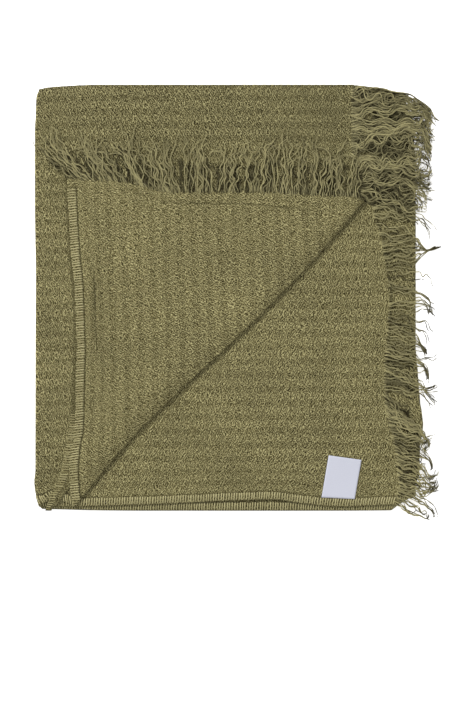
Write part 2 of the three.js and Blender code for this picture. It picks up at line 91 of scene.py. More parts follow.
def between(value: np.ndarray | float, start: float, stop: float) -> np.ndarray:
    """Returns a smooth step from 0 at start to 1 at stop."""
    return ease((value - start) / (stop - start))


def mix(low: Any, high: Any, share: Any) -> Any:
    """Returns the value a share of the way from low to high."""
    return low + (high - low) * share


def unit(vectors: np.ndarray) -> np.ndarray:
    """Returns vectors at length 1."""
    lengths = np.linalg.norm(vectors, axis=-1, keepdims=True)
    return vectors / np.maximum(lengths, 1e-9)


def linear(colour: str) -> tuple[float, float, float, float]:
    """Turns an sRGB colour into the linear one that shaders use.

    Args:
        colour: The colour as a hex value, such as "#7C7553".

    Returns:
        Red, green, blue and an alpha of 1.
    """
    parts = [int(colour[index:index + 2], 16) / 255.0 for index in (1, 3, 5)]
    values = [part / 12.92 if part <= 0.04045 else ((part + 0.055) / 1.055) ** 2.4 for part in parts]
    return (values[0], values[1], values[2], 1.0)


@dataclass(frozen=True)
class Profile:
    """A smooth curve through a few pairs of place and value, level past its ends."""

    pairs: tuple[tuple[float, float], ...]

    def at(self, places: np.ndarray) -> np.ndarray:
        """Reads the curve.

        Args:
            places: Where to read it.

        Returns:
            Its values, in an array of the same shape.
        """
        x, y = np.array(self.pairs, float).T
        secants = np.diff(y) / np.diff(x)
        before, after = secants[:-1], secants[1:]
        same_way = before * after > 0
        total = np.where(same_way, before + after, 1.0)
        slopes = np.zeros(len(x))
        slopes[1:-1] = np.where(same_way, 2.0 * before * after / total, 0.0)
        place = np.clip(places, x[0], x[-1])
        row = np.clip(np.searchsorted(x, place, side="right") - 1, 0, len(x) - 2)
        span = x[row + 1] - x[row]
        part = (place - x[row]) / span
        rise = y[row + 1] - y[row]
        bend = (slopes[row] * (1.0 - part) - slopes[row + 1] * part) * span
        bend = bend - rise * (1.0 - 2.0 * part)
        return y[row] + part * rise + part * (1.0 - part) * bend


def steady(value: float) -> Profile:
    """Returns a profile that has one value everywhere."""
    return Profile(((0.0, value), (1.0, value)))


def held_in(values: np.ndarray, limit: Any, room: float) -> np.ndarray:
    """Bends values that pass a limit back, so that they stay less than some room past it."""
    past = np.maximum(values - limit, 0.0)
    return np.minimum(values, limit) + room * np.tanh(past / room)


@dataclass(frozen=True)
class SoftNoise:
    """Smooth random values from -1 to 1 over a plane, the same ones for the same seed."""

    seed: int
    grain: float
    size: int = 256

    def at(self, x: np.ndarray, y: np.ndarray) -> np.ndarray:
        """Reads the noise.

        Args:
            x: First coordinates, in the units of the grain.
            y: Second coordinates.

        Returns:
            Its values.
        """
        table = np.random.default_rng(self.seed).uniform(-1.0, 1.0, (self.size, self.size))
        u, v = np.asarray(x) / self.grain, np.asarray(y) / self.grain
        column, row = np.floor(u).astype(int), np.floor(v).astype(int)
        part_u, part_v = ease(u - column), ease(v - row)
        column, row = column % self.size, row % self.size
        next_column, next_row = (column + 1) % self.size, (row + 1) % self.size
        low = mix(table[column, row], table[next_column, row], part_u)
        high = mix(table[column, next_row], table[next_column, next_row], part_u)
        return mix(low, high, part_v)


@dataclass(frozen=True)
class Plan:
    """Where the plan lies in the model's frame, and what the photo shows of it."""

    cloth_left: float = 2.85
    cloth_low: float = -4.5
    mm_per_pixel: float = 1.494
    zero_column: float = 32.0
    zero_row: float = 508.0
    photo_columns: int = 474
    photo_rows: int = 716

    def metres(self, places: np.ndarray) -> np.ndarray:
        """Turns places on the plan into the model's frame.

        Args:
            places: Places in millimetres, one in each row.

        Returns:
            The same places in metres.
        """
        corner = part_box("throw_cloth")[0] * 1000.0
        shift = np.array([corner.x - self.cloth_left, corner.y - self.cloth_low, 0.0])
        return (places + shift) / 1000.0


@dataclass(frozen=True)
class Ripple:
    """A soft ridge, or a trough if its height is negative, between two places on the plan."""

    start: tuple[float, float]
    end: tuple[float, float]
    height: float
    width: float

    def lift(self, x: np.ndarray, y: np.ndarray) -> np.ndarray:
        """Finds how far the ripple lifts the cloth.

        Args:
            x: Plan places.
            y: The same places across the plan.

        Returns:
            The lift in millimetres.
        """
        span = math.dist(self.start, self.end)
        way_x = (self.end[0] - self.start[0]) / span
        way_y = (self.end[1] - self.start[1]) / span
        along = (x - self.start[0]) * way_x + (y - self.start[1]) * way_y
        aside = (y - self.start[1]) * way_x - (x - self.start[0]) * way_y
        fade = ease(along / (0.3 * span)) * ease((span - along) / (0.3 * span))
        return self.height * np.exp(-((aside / self.width) ** 2)) * fade


class LaidCloth:
    """Cloth whose flat places have places on the plan."""

    def lay(self, along: np.ndarray, across: np.ndarray) -> np.ndarray:
        """Finds where points of the cloth's middle surface lie; each kind of cloth has its own way."""
        raise NotImplementedError

    def surface(self, along: np.ndarray, across: np.ndarray, height: Any) -> np.ndarray:
        """Finds points at some height over the cloth's middle surface.

        Args:
            along: Places along the cloth.
            across: Places across it.
            height: Height towards the inside of the doubled cloth.

        Returns:
            The points' places, one in each row.
        """
        step = 0.4
        run = self.lay(along + step, across) - self.lay(along - step, across)
        rise = self.lay(along, across + step) - self.lay(along, across - step)
        normals = unit(np.cross(run, rise))
        return self.lay(along, across) + normals * np.asarray(height)[..., None]


@dataclass(frozen=True)
class FoldedSheet(LaidCloth):
    """How the throw lies folded, as a map from its flat cloth to its places on the plan."""

    pitch: float = 2.8
    lowest: float = 0.9
    right: float = 575.0
    top: float = 633.0
    inner_end: float = 87.0
    outer_end: float = 525.0
    turn_reach: float = 5.1
    hairpin_reach: float = 2.3
    edge_spread: float = 75.0
    inner_end_spread: float = 90.0
    outer_spread_from: float = 330.0
    right_spread_from: float = 430.0
    top_spread_from: float = 530.0
    front_step: float = 1.2
    crease_start: tuple[float, float] = (62.7, 12.0)
    crease_end: tuple[float, float] = (495.3, 460.2)
    roll_rise: float = 1.5
    roll_reach: float = 3.9
    crown_height: float = 2.9
    crown_distance: float = 15.0
    crown_end_fade: float = 60.0
    settle_from: float = 30.0
    settle_over: float = 60.0
    bow_fade: float = 110.0
    bow_fade_left: float = 60.0
    unevenness: float = 0.03
    swell_x: float = 61.0
    swell_y: float = 83.0
    swell_slant: float = 47.0
    plain_corner: float = 15.0
    rumple: SoftNoise = SoftNoise(seed=3, grain=48.0)
    rumple_share: float = 0.045
    left_sag: float = 3.6
    sag_level: float = 1.4
    sag_start: float = 95.0
    sag_end: float = 40.0
    rests_off: float = 0.85
    falls_over: float = 30.0
    off_floor: float = 0.1
    edge_inner: Profile = Profile(
        ((87, -1), (200, -3.5), (430, -4.5), (533, -3), (549, 6), (575, 18)))
    edge_middle: Profile = Profile(
        ((4, 18), (8, 6), (14, -2), (185, -4.5), (430, -4.5), (535, -4), (549, 5), (575, 17)))
    edge_outer_back: Profile = Profile(
        ((4, 16), (8, 5), (14, 1.5), (163, 4.5), (318, 11.4), (356, 12.5), (408, 6), (460, 1.5),
         (545, 4.5)))
    edge_outer_front: Profile = Profile(
        ((4, 16), (8, 6), (14, 5), (27, 13), (45, 11), (60, 4), (85, -1), (106, -1), (143, 4), (173, 11),
         (247, 14.5), (307, 18), (382, 18), (441, 14), (552, 12)))
    end_inner: Profile = Profile(((0, 84), (200, 88), (420, 82), (633, 86)))
    end_outer_back: Profile = Profile(
        ((3, 545), (27, 551), (72, 547), (117, 539), (164, 530), (214, 530), (318, 536), (362, 530),
         (402, 524), (448, 512), (560, 513), (600, 508), (618, 497), (633, 481)))
    end_outer_front: Profile = Profile(
        ((12, 552), (33, 550), (100, 544), (165, 526), (270, 523), (365, 516), (443, 508), (453, 502),
         (470, 494), (500, 487), (535, 481), (633, 481)))
    left_fold: Profile = Profile(
        ((0, 9), (14, 4.5), (33, 2), (57, 3.7), (240, 4), (350, 4.5), (450, 3), (570, 3), (592, 4.2),
         (618, 4.8), (626, 6), (633, 9)))
    right_fold: Profile = Profile(
        ((17, 574), (42, 580), (87, 581), (124, 585.5), (161, 581), (199, 578), (244, 574.5),
         (460, 574.5), (560, 572), (600, 567), (633, 558)))
    top_fold: Profile = Profile(
        ((4, 622), (12, 627), (34, 630.5), (100, 633), (480, 633), (526, 627), (547, 623), (575, 610)))
    crease_bow: Profile = Profile(
        ((0, 2), (70, -3), (135, -6), (200, -5), (335, 2), (460, 5), (560, 3), (622, -1)))
    corner_ripples: tuple[Ripple, ...] = (
        Ripple(start=(285, 448), end=(420, 450), height=1.3, width=4.5),
        Ripple(start=(96, 240), end=(95, 362), height=-1.3, width=2.4),
        Ripple(start=(89.5, 245), end=(88.5, 356), height=1.5, width=3.5),
    )

    @property
    def half_pitch(self) -> float:
        """Half the height of one layer."""
        return self.pitch / 2.0

    @property
    def turn(self) -> float:
        """Length of the doubled cloth's middle line round an end fold."""
        return math.pi * self.pitch

    @property
    def hairpin(self) -> float:
        """Length of the cloth's middle line round the fold across the width."""
        return math.pi * self.half_pitch

    @property
    def knots(self) -> tuple[float, ...]:
        """Places along the cloth where its thirds and the folds between them start and end.

        Returns:
            The inner third's start and end, the middle's start and end, and the outer's.
        """
        right_fold = self.right - self.inner_end
        left_fold = right_fold + self.turn + self.right
        outer = left_fold + self.turn
        return (0.0, right_fold, right_fold + self.turn, left_fold, outer, outer + self.outer_end)

    @property
    def length(self) -> float:
        """Length of the flat cloth."""
        return self.knots[-1]

    @property
    def width(self) -> float:
        """Width of the flat cloth."""
        return 2.0 * self.top + self.hairpin

    def level_height(self, level: float) -> float:
        """Returns the height of a layer's middle surface, counting layers from 0 at the bottom."""
        return self.lowest + level * self.pitch

    def roll_length(self) -> float:
        """Returns the length of cloth that rolls over in the crease, half round an oval."""
        return math.pi * math.hypot(self.roll_rise, self.roll_reach) / math.sqrt(2.0)

    def crease_axes(self) -> tuple[float, float, float]:
        """Finds which way the crease runs.

        Returns:
            Its direction's X and Y on the plan, and its length.
        """
        run_x = self.crease_end[0] - self.crease_start[0]
        run_y = self.crease_end[1] - self.crease_start[1]
        span = math.hypot(run_x, run_y)
        return run_x / span, run_y / span, span

    def past_crease(self, x: np.ndarray, y: np.ndarray) -> np.ndarray:
        """Returns how far places of the unturned top layer lie past the crease."""
        way_x, way_y, _ = self.crease_axes()
        return (x - self.crease_start[0]) * way_y - (y - self.crease_start[1]) * way_x

    def outline(self, third: Third, half: Half) -> tuple[Profile, Profile | None]:
        """Finds a layer's outline.

        Args:
            third: The third of the length that the layer is in.
            half: The half of the width that it is in.

        Returns:
            The profiles of its overlocked edge and of its fringed end, if it has one.
        """
        if third is Third.INNER:
            return self.edge_inner, self.end_inner
        if third is Third.MIDDLE:
            return self.edge_middle, None
        if half is Half.BACK:
            return self.edge_outer_back, self.end_outer_back
        return self.edge_outer_front, self.end_outer_front

    def plan_place(self, third: Third, half: Half, x: np.ndarray, y: np.ndarray) -> np.ndarray:
        """Moves nominal places of one layer to where its edges, folds and ends really lie.

        Args:
            third: The third of the length that the layer is in.
            half: The half of the width that it is in.
            x: Nominal places along the plan.
            y: Nominal places across it.

        Returns:
            The plan places, X and Y in each row.
        """
        edge, end = self.outline(third, half)
        moved = x.astype(float)
        if third is not Third.OUTER:
            shift = self.right_fold.at(y) - self.turn_reach - self.right
            moved = moved + shift * between(x, self.right_spread_from, self.right)
        if third is not Third.INNER:
            shift = self.left_fold.at(y) + self.turn_reach
            moved = moved + shift * (1.0 - ease(x / self.edge_spread))
        if third is Third.INNER:
            fade = 1.0 - ease((x - self.inner_end) / self.inner_end_spread)
            moved = moved + (end.at(y) - self.inner_end) * fade
        if third is Third.OUTER:
            shift = end.at(y) - self.outer_end
            moved = moved + shift * between(x, self.outer_spread_from, self.outer_end)
        step = self.front_step if third is not Third.OUTER and half is Half.FRONT else 0.0
        low = (edge.at(moved) + step) * (1.0 - ease(y / self.edge_spread))
        high = self.top_fold.at(moved) - self.hairpin_reach - self.top
        high = high * between(y, self.top_spread_from, self.top)
        return np.stack([moved, y + low + high], axis=-1)

    def turned_corner(self, x: np.ndarray, y: np.ndarray) -> np.ndarray:
        """Turns the top layer's corner back over the crease.

        Args:
            x: Plan places of the top layer before its corner is turned.
            y: The same places across the plan.

        Returns:
            Places of its middle surface, before the stack settles.
        """
        way_x, way_y, span = self.crease_axes()
        past = self.past_crease(x, y)
        along = (x - self.crease_start[0]) * way_x + (y - self.crease_start[1]) * way_y
        bow = self.crease_bow.at(along) * ease(x / self.bow_fade_left)
        angle = np.clip(math.pi * past / self.roll_length(), 0.0, math.pi)
        back = np.maximum(past - self.roll_length(), 0.0)
        fade = 1.0 - ease((np.maximum(-past, 0.0) + back) / self.bow_fade)
        aside = np.minimum(past, 0.0) + self.roll_reach * np.sin(angle) - back + bow * fade
        ends = ease(along / self.crown_end_fade) * ease((span - along) / self.crown_end_fade)
        reach = back / self.crown_distance
        crown = self.crown_height * reach * np.exp(1.0 - reach) * ends
        sink = (2.0 * self.roll_rise - self.pitch) * ease((back - self.settle_from) / self.settle_over)
        lift = self.roll_rise * (1.0 - np.cos(angle)) + crown - sink
        at_x = self.crease_start[0] + along * way_x + aside * way_y
        at_y = self.crease_start[1] + along * way_y - aside * way_x
        ripples = sum(ripple.lift(at_x, at_y) for ripple in self.corner_ripples)
        lift = lift + ripples * ease(back / self.crown_distance)
        return np.stack([at_x, at_y, self.level_height(5) + lift], axis=-1)

    def settle(self, places: np.ndarray) -> np.ndarray:
        """Lets the stack settle: it swells a little here and there, and sags on the left.

        Args:
            places: Places before the stack settles, one in each row.

        Returns:
            The settled places.
        """
        x, y, z = places[..., 0], places[..., 1], places[..., 2]
        crossed = np.sin(x / self.swell_x + 0.6) * np.sin(y / self.swell_y + 1.1)
        swelling = self.unevenness * (crossed + 0.5 * np.sin((x + y) / self.swell_slant)) / 1.5
        swelling = swelling + self.rumple_share * self.rumple.at(x, y)
        sagging = np.clip((z - self.level_height(self.sag_level)) / (0.25 * self.pitch), 0.0, 1.0)
        sunk = 1.0 - between(x, self.sag_end, self.sag_start)
        height = z + (z - self.lowest) * swelling - self.left_sag * sunk * sagging
        return np.stack([x, y, height], axis=-1)

    def lay(self, along: np.ndarray, across: np.ndarray) -> np.ndarray:
        """Finds where points of the cloth's middle surface lie.

        Args:
            along: Places along the cloth.
            across: Places across it.

        Returns:
            The points' places, one in each row.
        """
        _, right_start, right_stop, left_start, left_stop, _ = self.knots
        nominal_x = np.interp(
            along, self.knots, (self.inner_end, self.right, self.right, 0.0, 0.0, self.outer_end))
        nominal_y = np.interp(
            across, (0.0, self.top, self.top + self.hairpin, self.width), (0.0, self.top, self.top, 0.0))
        right_turn = np.clip((along - right_start) / self.turn, 0.0, 1.0)
        left_turn = np.clip((along - left_start) / self.turn, 0.0, 1.0)
        over = np.clip((across - self.top) / self.hairpin, 0.0, 1.0)
        thirds = {
            Third.INNER: 1.0 - right_turn, Third.MIDDLE: right_turn - left_turn, Third.OUTER: left_turn}
        halves = {Half.BACK: 1.0 - over, Half.FRONT: over}
        flat = np.zeros(along.shape + (2,))
        for third, third_share in thirds.items():
            for half, half_share in halves.items():
                share = third_share * half_share
                here = share > 0
                place = self.plan_place(third, half, nominal_x[here], nominal_y[here])
                flat[here] += share[here, None] * place
        offset = -self.half_pitch * np.cos(math.pi * over)
        low_part = along < 0.5 * (right_stop + left_start)
        reach = np.where(
            low_part,
            (self.pitch - offset) * np.sin(math.pi * right_turn),
            -(self.pitch + offset) * np.sin(math.pi * left_turn))
        height = np.where(
            low_part,
            self.level_height(1.5) - (self.pitch - offset) * np.cos(math.pi * right_turn),
            self.level_height(3.5) - (self.pitch + offset) * np.cos(math.pi * left_turn))
        y = flat[..., 1] + self.half_pitch * np.sin(math.pi * over)
        places = np.stack([flat[..., 0] + reach, y, height], axis=-1)
        top_layer = (left_turn >= 1.0) & (over >= 1.0)
        places[top_layer] = self.turned_corner(flat[top_layer, 0], flat[top_layer, 1])
        return self.settle(places)

    def overhang(self, x: np.ndarray, y: np.ndarray) -> np.ndarray:
        """Finds how far plan places lie outside the layers under the outer third.

        Args:
            x: Plan places.
            y: The same places across the plan.

        Returns:
            The distance in millimetres, 0 inside.
        """
        past_right = x - self.right_fold.at(y)
        past_lower = self.edge_middle.at(x) - y
        past_top = y - self.top_fold.at(x)
        return np.maximum(np.maximum(past_right, past_lower), np.maximum(past_top, 0.0))

    def resting_height(self, level: float, x: np.ndarray, y: np.ndarray) -> np.ndarray:
        """Finds how high something rests that lies on a layer and droops to the floor past it.

        Args:
            level: The layer that it lies on.
            x: Plan places.
            y: The same places across the plan.

        Returns:
            The height of the surface under it.
        """
        fallen = ease((self.overhang(x, y) - 1.0) / self.falls_over)
        return mix(self.level_height(level) + self.rests_off, self.off_floor, fallen)


@dataclass(frozen=True)
class EdgePly(LaidCloth):
    """The ply under the turned-back corner's overlocked edge, as far as it can be seen.

    Its own overlocked edge peeks out on the left. Along runs up the plan and across to the right.
    """

    sheet: FoldedSheet
    low: float = -4.5
    high: float = 496.0
    left_edge: Profile = Profile(
        ((-4.5, 19.4), (4.5, 22.4), (19.4, 26.9), (31.4, 34.4), (49.3, 41.8), (86.7, 49.3), (116.5, 54.8),
         (150, 58.4), (191, 60), (251, 62), (326, 59.8), (385, 54.2), (440, 51.4), (496, 48.8)))
    breadth: Profile = Profile(((-4.5, 9), (12, 20), (40, 24), (496, 24)))
    sewn_to_show: float = 150.0
    cloth_half: float = 0.6
    height_on_top: float = 0.85
    droop_from: float = 12.0
    droop_over: float = 16.0
    droop: float = 4.5

    @property
    def length(self) -> float:
        """Length of the part that is made."""
        return self.high - self.low

    @property
    def width(self) -> float:
        """Width of the part that is made, where it is broadest."""
        return self.breadth.pairs[-1][1]

    def lay(self, along: np.ndarray, across: np.ndarray) -> np.ndarray:
        """Finds where points of the ply's middle surface lie.

        Args:
            along: Places along the ply, from its lower end.
            across: Places across it, from its overlocked edge.

        Returns:
            The points' places, one in each row.
        """
        y = self.low + along
        share = self.breadth.at(y) / self.width
        x = self.left_edge.at(y) + across * share
        drooped = self.droop * ease((self.droop_from - y) / self.droop_over)
        height = self.sheet.level_height(5) + self.cloth_half + self.height_on_top - drooped
        return self.sheet.settle(np.stack([x, y, height], axis=-1))


# What can be linked into a node: a socket, or a node whose first output is meant.
Source = Node | NodeSocket


def add_node(tree: NodeTree, kind: str, inputs: dict[int | str, Any], **settings: Any) -> Node:
    """Adds a shader node with its settings and what goes into it.

    Args:
        tree: The node tree.
        kind: The node's type without its ShaderNode, such as "Math".
        inputs: Its inputs by name or number, each a value or what is linked to it.
        **settings: Its properties by name.

    Returns:
        The node.
    """
    node = tree.nodes.new("ShaderNode" + kind)
    for name, value in settings.items():
        setattr(node, name, value)
    for name, value in inputs.items():
        if isinstance(value, Source):
            socket = value.outputs[0] if isinstance(value, Node) else value
            tree.links.new(socket, node.inputs[name])
        else:
            node.inputs[name].default_value = value
    return node


def set_stops(ramp: Node, stops: list[tuple[float, tuple[float, ...]]]) -> None:
    """Gives a colour ramp its stops.

    Args:
        ramp: The ramp's node.
        stops: Its stops, each a place from 0 to 1 and a colour.
    """
    elements = ramp.color_ramp.elements
    while len(elements) > 1:
        elements.remove(elements[-1])
    elements[0].position, elements[0].color = stops[0]
    for position, colour in stops[1:]:
        elements.new(position).color = colour


def grey(value: float) -> tuple[float, float, float, float]:
    """Returns a grey for a ramp that carries numbers."""
    return (value, value, value, 1.0)


class Finish:
    """A finish that one principled shader gives."""

    name: str

    def sockets(self, tree: NodeTree) -> dict[int | str, Any]:
        """Adds what leads to the shader and returns its inputs; each finish has its own way."""
        raise NotImplementedError

    def build(self) -> Material:
        """Makes the finish's material.

        Returns:
            The material, which the pieces share.
        """
        material = bpy.data.materials.new(self.name)
        material.use_nodes = True
        tree = material.node_tree
        tree.nodes.clear()
        shader = add_node(tree, "BsdfPrincipled", self.sockets(tree))
        add_node(tree, "OutputMaterial", {"Surface": shader})
        return material


@dataclass(frozen=True)
class WashedLinen(Finish):
    """Linen woven in small raised diamonds and washed soft.

    Short floats lean one way or the other along the diamonds' sides, and most of them one way, as the
    yarn is spun. Every other diamond has a light ring round a dark eye. Washing has pushed all of it
    out of line. That gives the eye a grainy, heathered cloth in which rows of rings come and go. The
    yarn is 0.5 mm thick and its fibres are finer, too fine to show, so the floats are drawn 3 mm apart
    and the flecks that the fibres make 1.5 mm wide.
    """

    name: str = "washed_diamond_linen"
    # The ramp's ends are painted shade in the weave's deepest gaps (dark) and painted light on its highest
    # threads (light), over the weave's own pattern.
    light: str = "#BAB281"
    middle: str = "#706843"
    dark: str = "#1F1B05"
    # The colour of painted shade: in the needle-hole groove, on the cloth between the overlock stitches, in
    # a tuck's fold and on the ply under the turned corner; the missed pick's line takes it too.
    seam_and_shade: str = "#2E2A12"
    haze: str = "#A39C72"
    roughness: float = 0.88
    sheen: float = 0.06
    diamond_along: float = 15.44
    diamond_across: float = 20.83
    ring: tuple[tuple[float, float], ...] = (
        (0.0, 0.58), (0.2, 0.5), (0.5, 0.41), (0.66, 0.5), (0.78, 1.0), (0.88, 0.7), (0.96, 0.3),
        (1.0, 0.2))
    clear_from: float = 0.12
    clear_to: float = 0.58
    clear_grain: float = 30.0
    mean_height: float = 0.48
    row_height: float = 0.03
    float_turn: float = 58.0
    float_pitch: float = 3.0
    float_wide: float = 1.3
    float_long: float = 3.4
    float_height: float = 0.26
    lean: float = 0.3
    swerve: float = 11.0
    swerve_grain: float = 4.5
    fibre: float = 1.5
    fleck: float = 0.5
    stray: float = 7.0
    stray_grain: float = 15.0
    cloud_grain: float = 70.0
    cloud: float = 0.1
    bump_mm: float = 0.8
    reverse_deeper: float = 0.045
    reverse_clearer: float = 0.42
    dull: float = 0.16

    def sockets(self, tree: NodeTree) -> dict[int | str, Any]:
        """Draws the cloth over its own coordinates, which its weave attribute holds.

        Args:
            tree: The material's tree.

        Returns:
            The shader's inputs.
        """
        weave = add_node(tree, "Attribute", {}, attribute_name="weave").outputs["Vector"]
        raised = self.raised(tree, weave)
        # Painted shade in the weave's gaps and painted light on its raised threads, over its own pattern.
        colour = add_node(tree, "ValToRGB", {"Fac": raised})
        set_stops(colour, [
            (0.0, linear(self.dark)), (0.45, linear(self.middle)), (1.0, linear(self.light))])
        toned = self.toned(tree, weave, colour)
        # How much painted shade, or the missed pick's line, darkens each place.
        seam_and_shade = add_node(tree, "Attribute", {}, attribute_name="seam_and_shade").outputs["Fac"]
        edged = add_node(tree, "Mix", {"Factor": seam_and_shade, 6: toned, 7: linear(self.seam_and_shade)}, data_type="RGBA")
        bump = add_node(tree, "Bump", {
            "Strength": 1.0, "Distance": self.bump_mm / 1000.0, "Height": raised})
        return {
            "Base Color": edged.outputs[2], "Roughness": self.roughness, "Sheen Weight": self.sheen,
            "Sheen Roughness": 0.5, "Sheen Tint": linear(self.haze), "Specular IOR Level": 0.15,
            "Normal": bump}

    def floats(self, tree: NodeTree, place: Source, turn: float) -> Node:
        """Draws short floats that all lean one way.

        Args:
            tree: The material's tree.
            place: The cloth's own coordinates, in millimetres.
            turn: How far the floats are turned from the warp, in degrees.

        Returns:
            A number from -2 in the gaps to 2 on the floats.
        """
        turned = add_node(tree, "VectorRotate", {
            "Vector": place, "Angle": math.radians(turn)}, rotation_type="Z_AXIS")
        scaled = add_node(tree, "VectorMath", {
            0: turned, 1: (1.0 / self.float_long, 1.0 / self.float_wide, 0.0)}, operation="MULTIPLY")
        noise = add_node(tree, "TexNoise", {
            "Vector": scaled, "Scale": 1.0, "Detail": 1.0, "Roughness": 0.6})
        height = add_node(tree, "MapRange", {0: noise, 1: 0.3, 2: 0.7, 3: -1.0, 4: 1.0})
        swerve = add_node(tree, "TexNoise", {
            "Vector": place, "Scale": 1.0 / self.swerve_grain, "Detail": 1.0})
        phase = add_node(tree, "Math", {0: swerve, 1: self.swerve}, operation="MULTIPLY")
        parts = add_node(tree, "SeparateXYZ", {0: turned})
        angle = add_node(tree, "Math", {
            0: parts.outputs["Y"], 1: 2.0 * math.pi / self.float_pitch, 2: phase}, operation="MULTIPLY_ADD")
        rows = add_node(tree, "Math", {0: angle}, operation="COSINE")
        return add_node(tree, "Math", {0: height, 1: rows}, operation="ADD")

    def rings(self, tree: NodeTree, weave: Source, middle: Source, reverse: Source) -> Node:
        """Draws the rings, clear in some places and faint in others.

        Args:
            tree: The material's tree.
            weave: The cloth's own coordinates, in millimetres.
            middle: A number from -2 between the ringed diamonds to 2 in the middle of each.
            reverse: 1 on the cloth's reverse, where the rings are clearer, and 0 on its face.

        Returns:
            A height about the cloth's mean.
        """
        from_middle = add_node(tree, "MapRange", {0: middle, 1: -2.0, 2: 2.0, 3: 0.0, 4: 1.0})
        ring = add_node(tree, "ValToRGB", {"Fac": from_middle})
        set_stops(ring, [(place, grey(height)) for place, height in self.ring])
        from_mean = add_node(tree, "Math", {0: ring, 1: 0.5}, operation="SUBTRACT")
        clearness = add_node(tree, "TexNoise", {"Vector": weave, "Scale": 1.0 / self.clear_grain})
        clear = add_node(tree, "MapRange", {
            0: clearness, 1: 0.35, 2: 0.65, 3: self.clear_from, 4: self.clear_to})
        clearer = add_node(tree, "Math", {
            0: reverse, 1: self.reverse_clearer, 2: 1.0}, operation="MULTIPLY_ADD")
        clear_here = add_node(tree, "Math", {0: clear, 1: clearer}, operation="MULTIPLY")
        plain = add_node(tree, "Attribute", {}, attribute_name="plainness").outputs["Fac"]
        in_diamonds = add_node(tree, "Math", {0: 1.0, 1: plain}, operation="SUBTRACT")
        strength = add_node(tree, "Math", {0: clear_here, 1: in_diamonds}, operation="MULTIPLY")
        return add_node(tree, "Math", {
            0: from_mean, 1: strength, 2: self.mean_height}, operation="MULTIPLY_ADD")

    def raised(self, tree: NodeTree, weave: Source) -> Node:
        """Makes the weave: how high each place stands, which is also how light it is, with painted shade in
        the gaps.

        Args:
            tree: The material's tree.
            weave: The cloth's own coordinates, in millimetres.

        Returns:
            A number from 0 in the deepest gaps to 1 on the highest threads.
        """
        wander = add_node(tree, "TexNoise", {
            "Vector": weave, "Scale": 1.0 / self.stray_grain, "Detail": 2.0, "Roughness": 0.6})
        centred = add_node(tree, "VectorMath", {
            0: wander.outputs["Color"], 1: (0.5, 0.5, 0.5)}, operation="SUBTRACT")
        strayed = add_node(tree, "VectorMath", {
            0: centred, 1: (self.stray, self.stray, 0.0), 2: weave}, operation="MULTIPLY_ADD")
        turn = 2.0 * math.pi
        turns = add_node(tree, "VectorMath", {
            0: strayed, 1: (turn / self.diamond_along, turn / self.diamond_across, 0.0)},
            operation="MULTIPLY")
        parts = add_node(tree, "SeparateXYZ", {0: turns})
        sine_x, sine_y, cosine_x, cosine_y = (
            add_node(tree, "Math", {0: parts.outputs[axis]}, operation=kind)
            for kind in ("SINE", "COSINE") for axis in ("X", "Y"))
        side = add_node(tree, "Math", {0: sine_x, 1: sine_y}, operation="MULTIPLY")
        way = add_node(tree, "MapRange", {
            0: side, 1: -0.5 - self.lean, 2: 0.5 - self.lean, 3: 0.0, 4: 1.0},
            interpolation_type="SMOOTHSTEP")
        floats = add_node(tree, "Mix", {
            "Factor": way, 2: self.floats(tree, strayed, self.float_turn),
            3: self.floats(tree, strayed, -self.float_turn)}, data_type="FLOAT")
        reverse = add_node(tree, "Attribute", {}, attribute_name="reverse").outputs["Fac"]
        middle = add_node(tree, "Math", {0: cosine_x, 1: cosine_y}, operation="ADD")
        rings = self.rings(tree, weave, middle, reverse)
        rows = add_node(tree, "Math", {0: cosine_y, 1: cosine_x}, operation="SUBTRACT")
        with_rows = add_node(tree, "Math", {
            0: rows, 1: self.row_height, 2: rings}, operation="MULTIPLY_ADD")
        deep = add_node(tree, "Math", {
            0: reverse, 1: self.reverse_deeper, 2: self.float_height}, operation="MULTIPLY_ADD")
        with_floats = add_node(tree, "Math", {0: floats, 1: deep, 2: with_rows}, operation="MULTIPLY_ADD")
        fibres = add_node(tree, "TexNoise", {
            "Vector": strayed, "Scale": 1.0 / self.fibre, "Detail": 1.0, "Roughness": 0.7})
        fleck = add_node(tree, "MapRange", {0: fibres, 1: 0.3, 2: 0.7, 3: -self.fleck, 4: self.fleck})
        return add_node(tree, "Math", {0: fleck, 1: with_floats}, operation="ADD", use_clamp=True)

    def toned(self, tree: NodeTree, weave: Source, colour: Source) -> Node:
        """Varies the colour gently over the cloth, as garment dyeing and washing leave it, and darkens the
        cloth's outside by a profile across the plan.

        Args:
            tree: The material's tree.
            weave: The cloth's own coordinates, in millimetres.
            colour: The colour to vary.

        Returns:
            The varied colour.
        """
        cloudy = add_node(tree, "TexNoise", {
            "Vector": weave, "Scale": 1.0 / self.cloud_grain, "Detail": 3.0})
        shade = add_node(tree, "MapRange", {
            0: cloudy, 1: 0.3, 2: 0.7, 3: 1.0 - self.cloud, 4: 1.0 + self.cloud})
        dull = add_node(tree, "Attribute", {}, attribute_name="dullness").outputs["Fac"]
        both = add_node(tree, "Math", {0: dull, 1: -self.dull, 2: shade}, operation="MULTIPLY_ADD")
        return add_node(tree, "VectorMath", {0: colour, "Scale": both}, operation="SCALE")


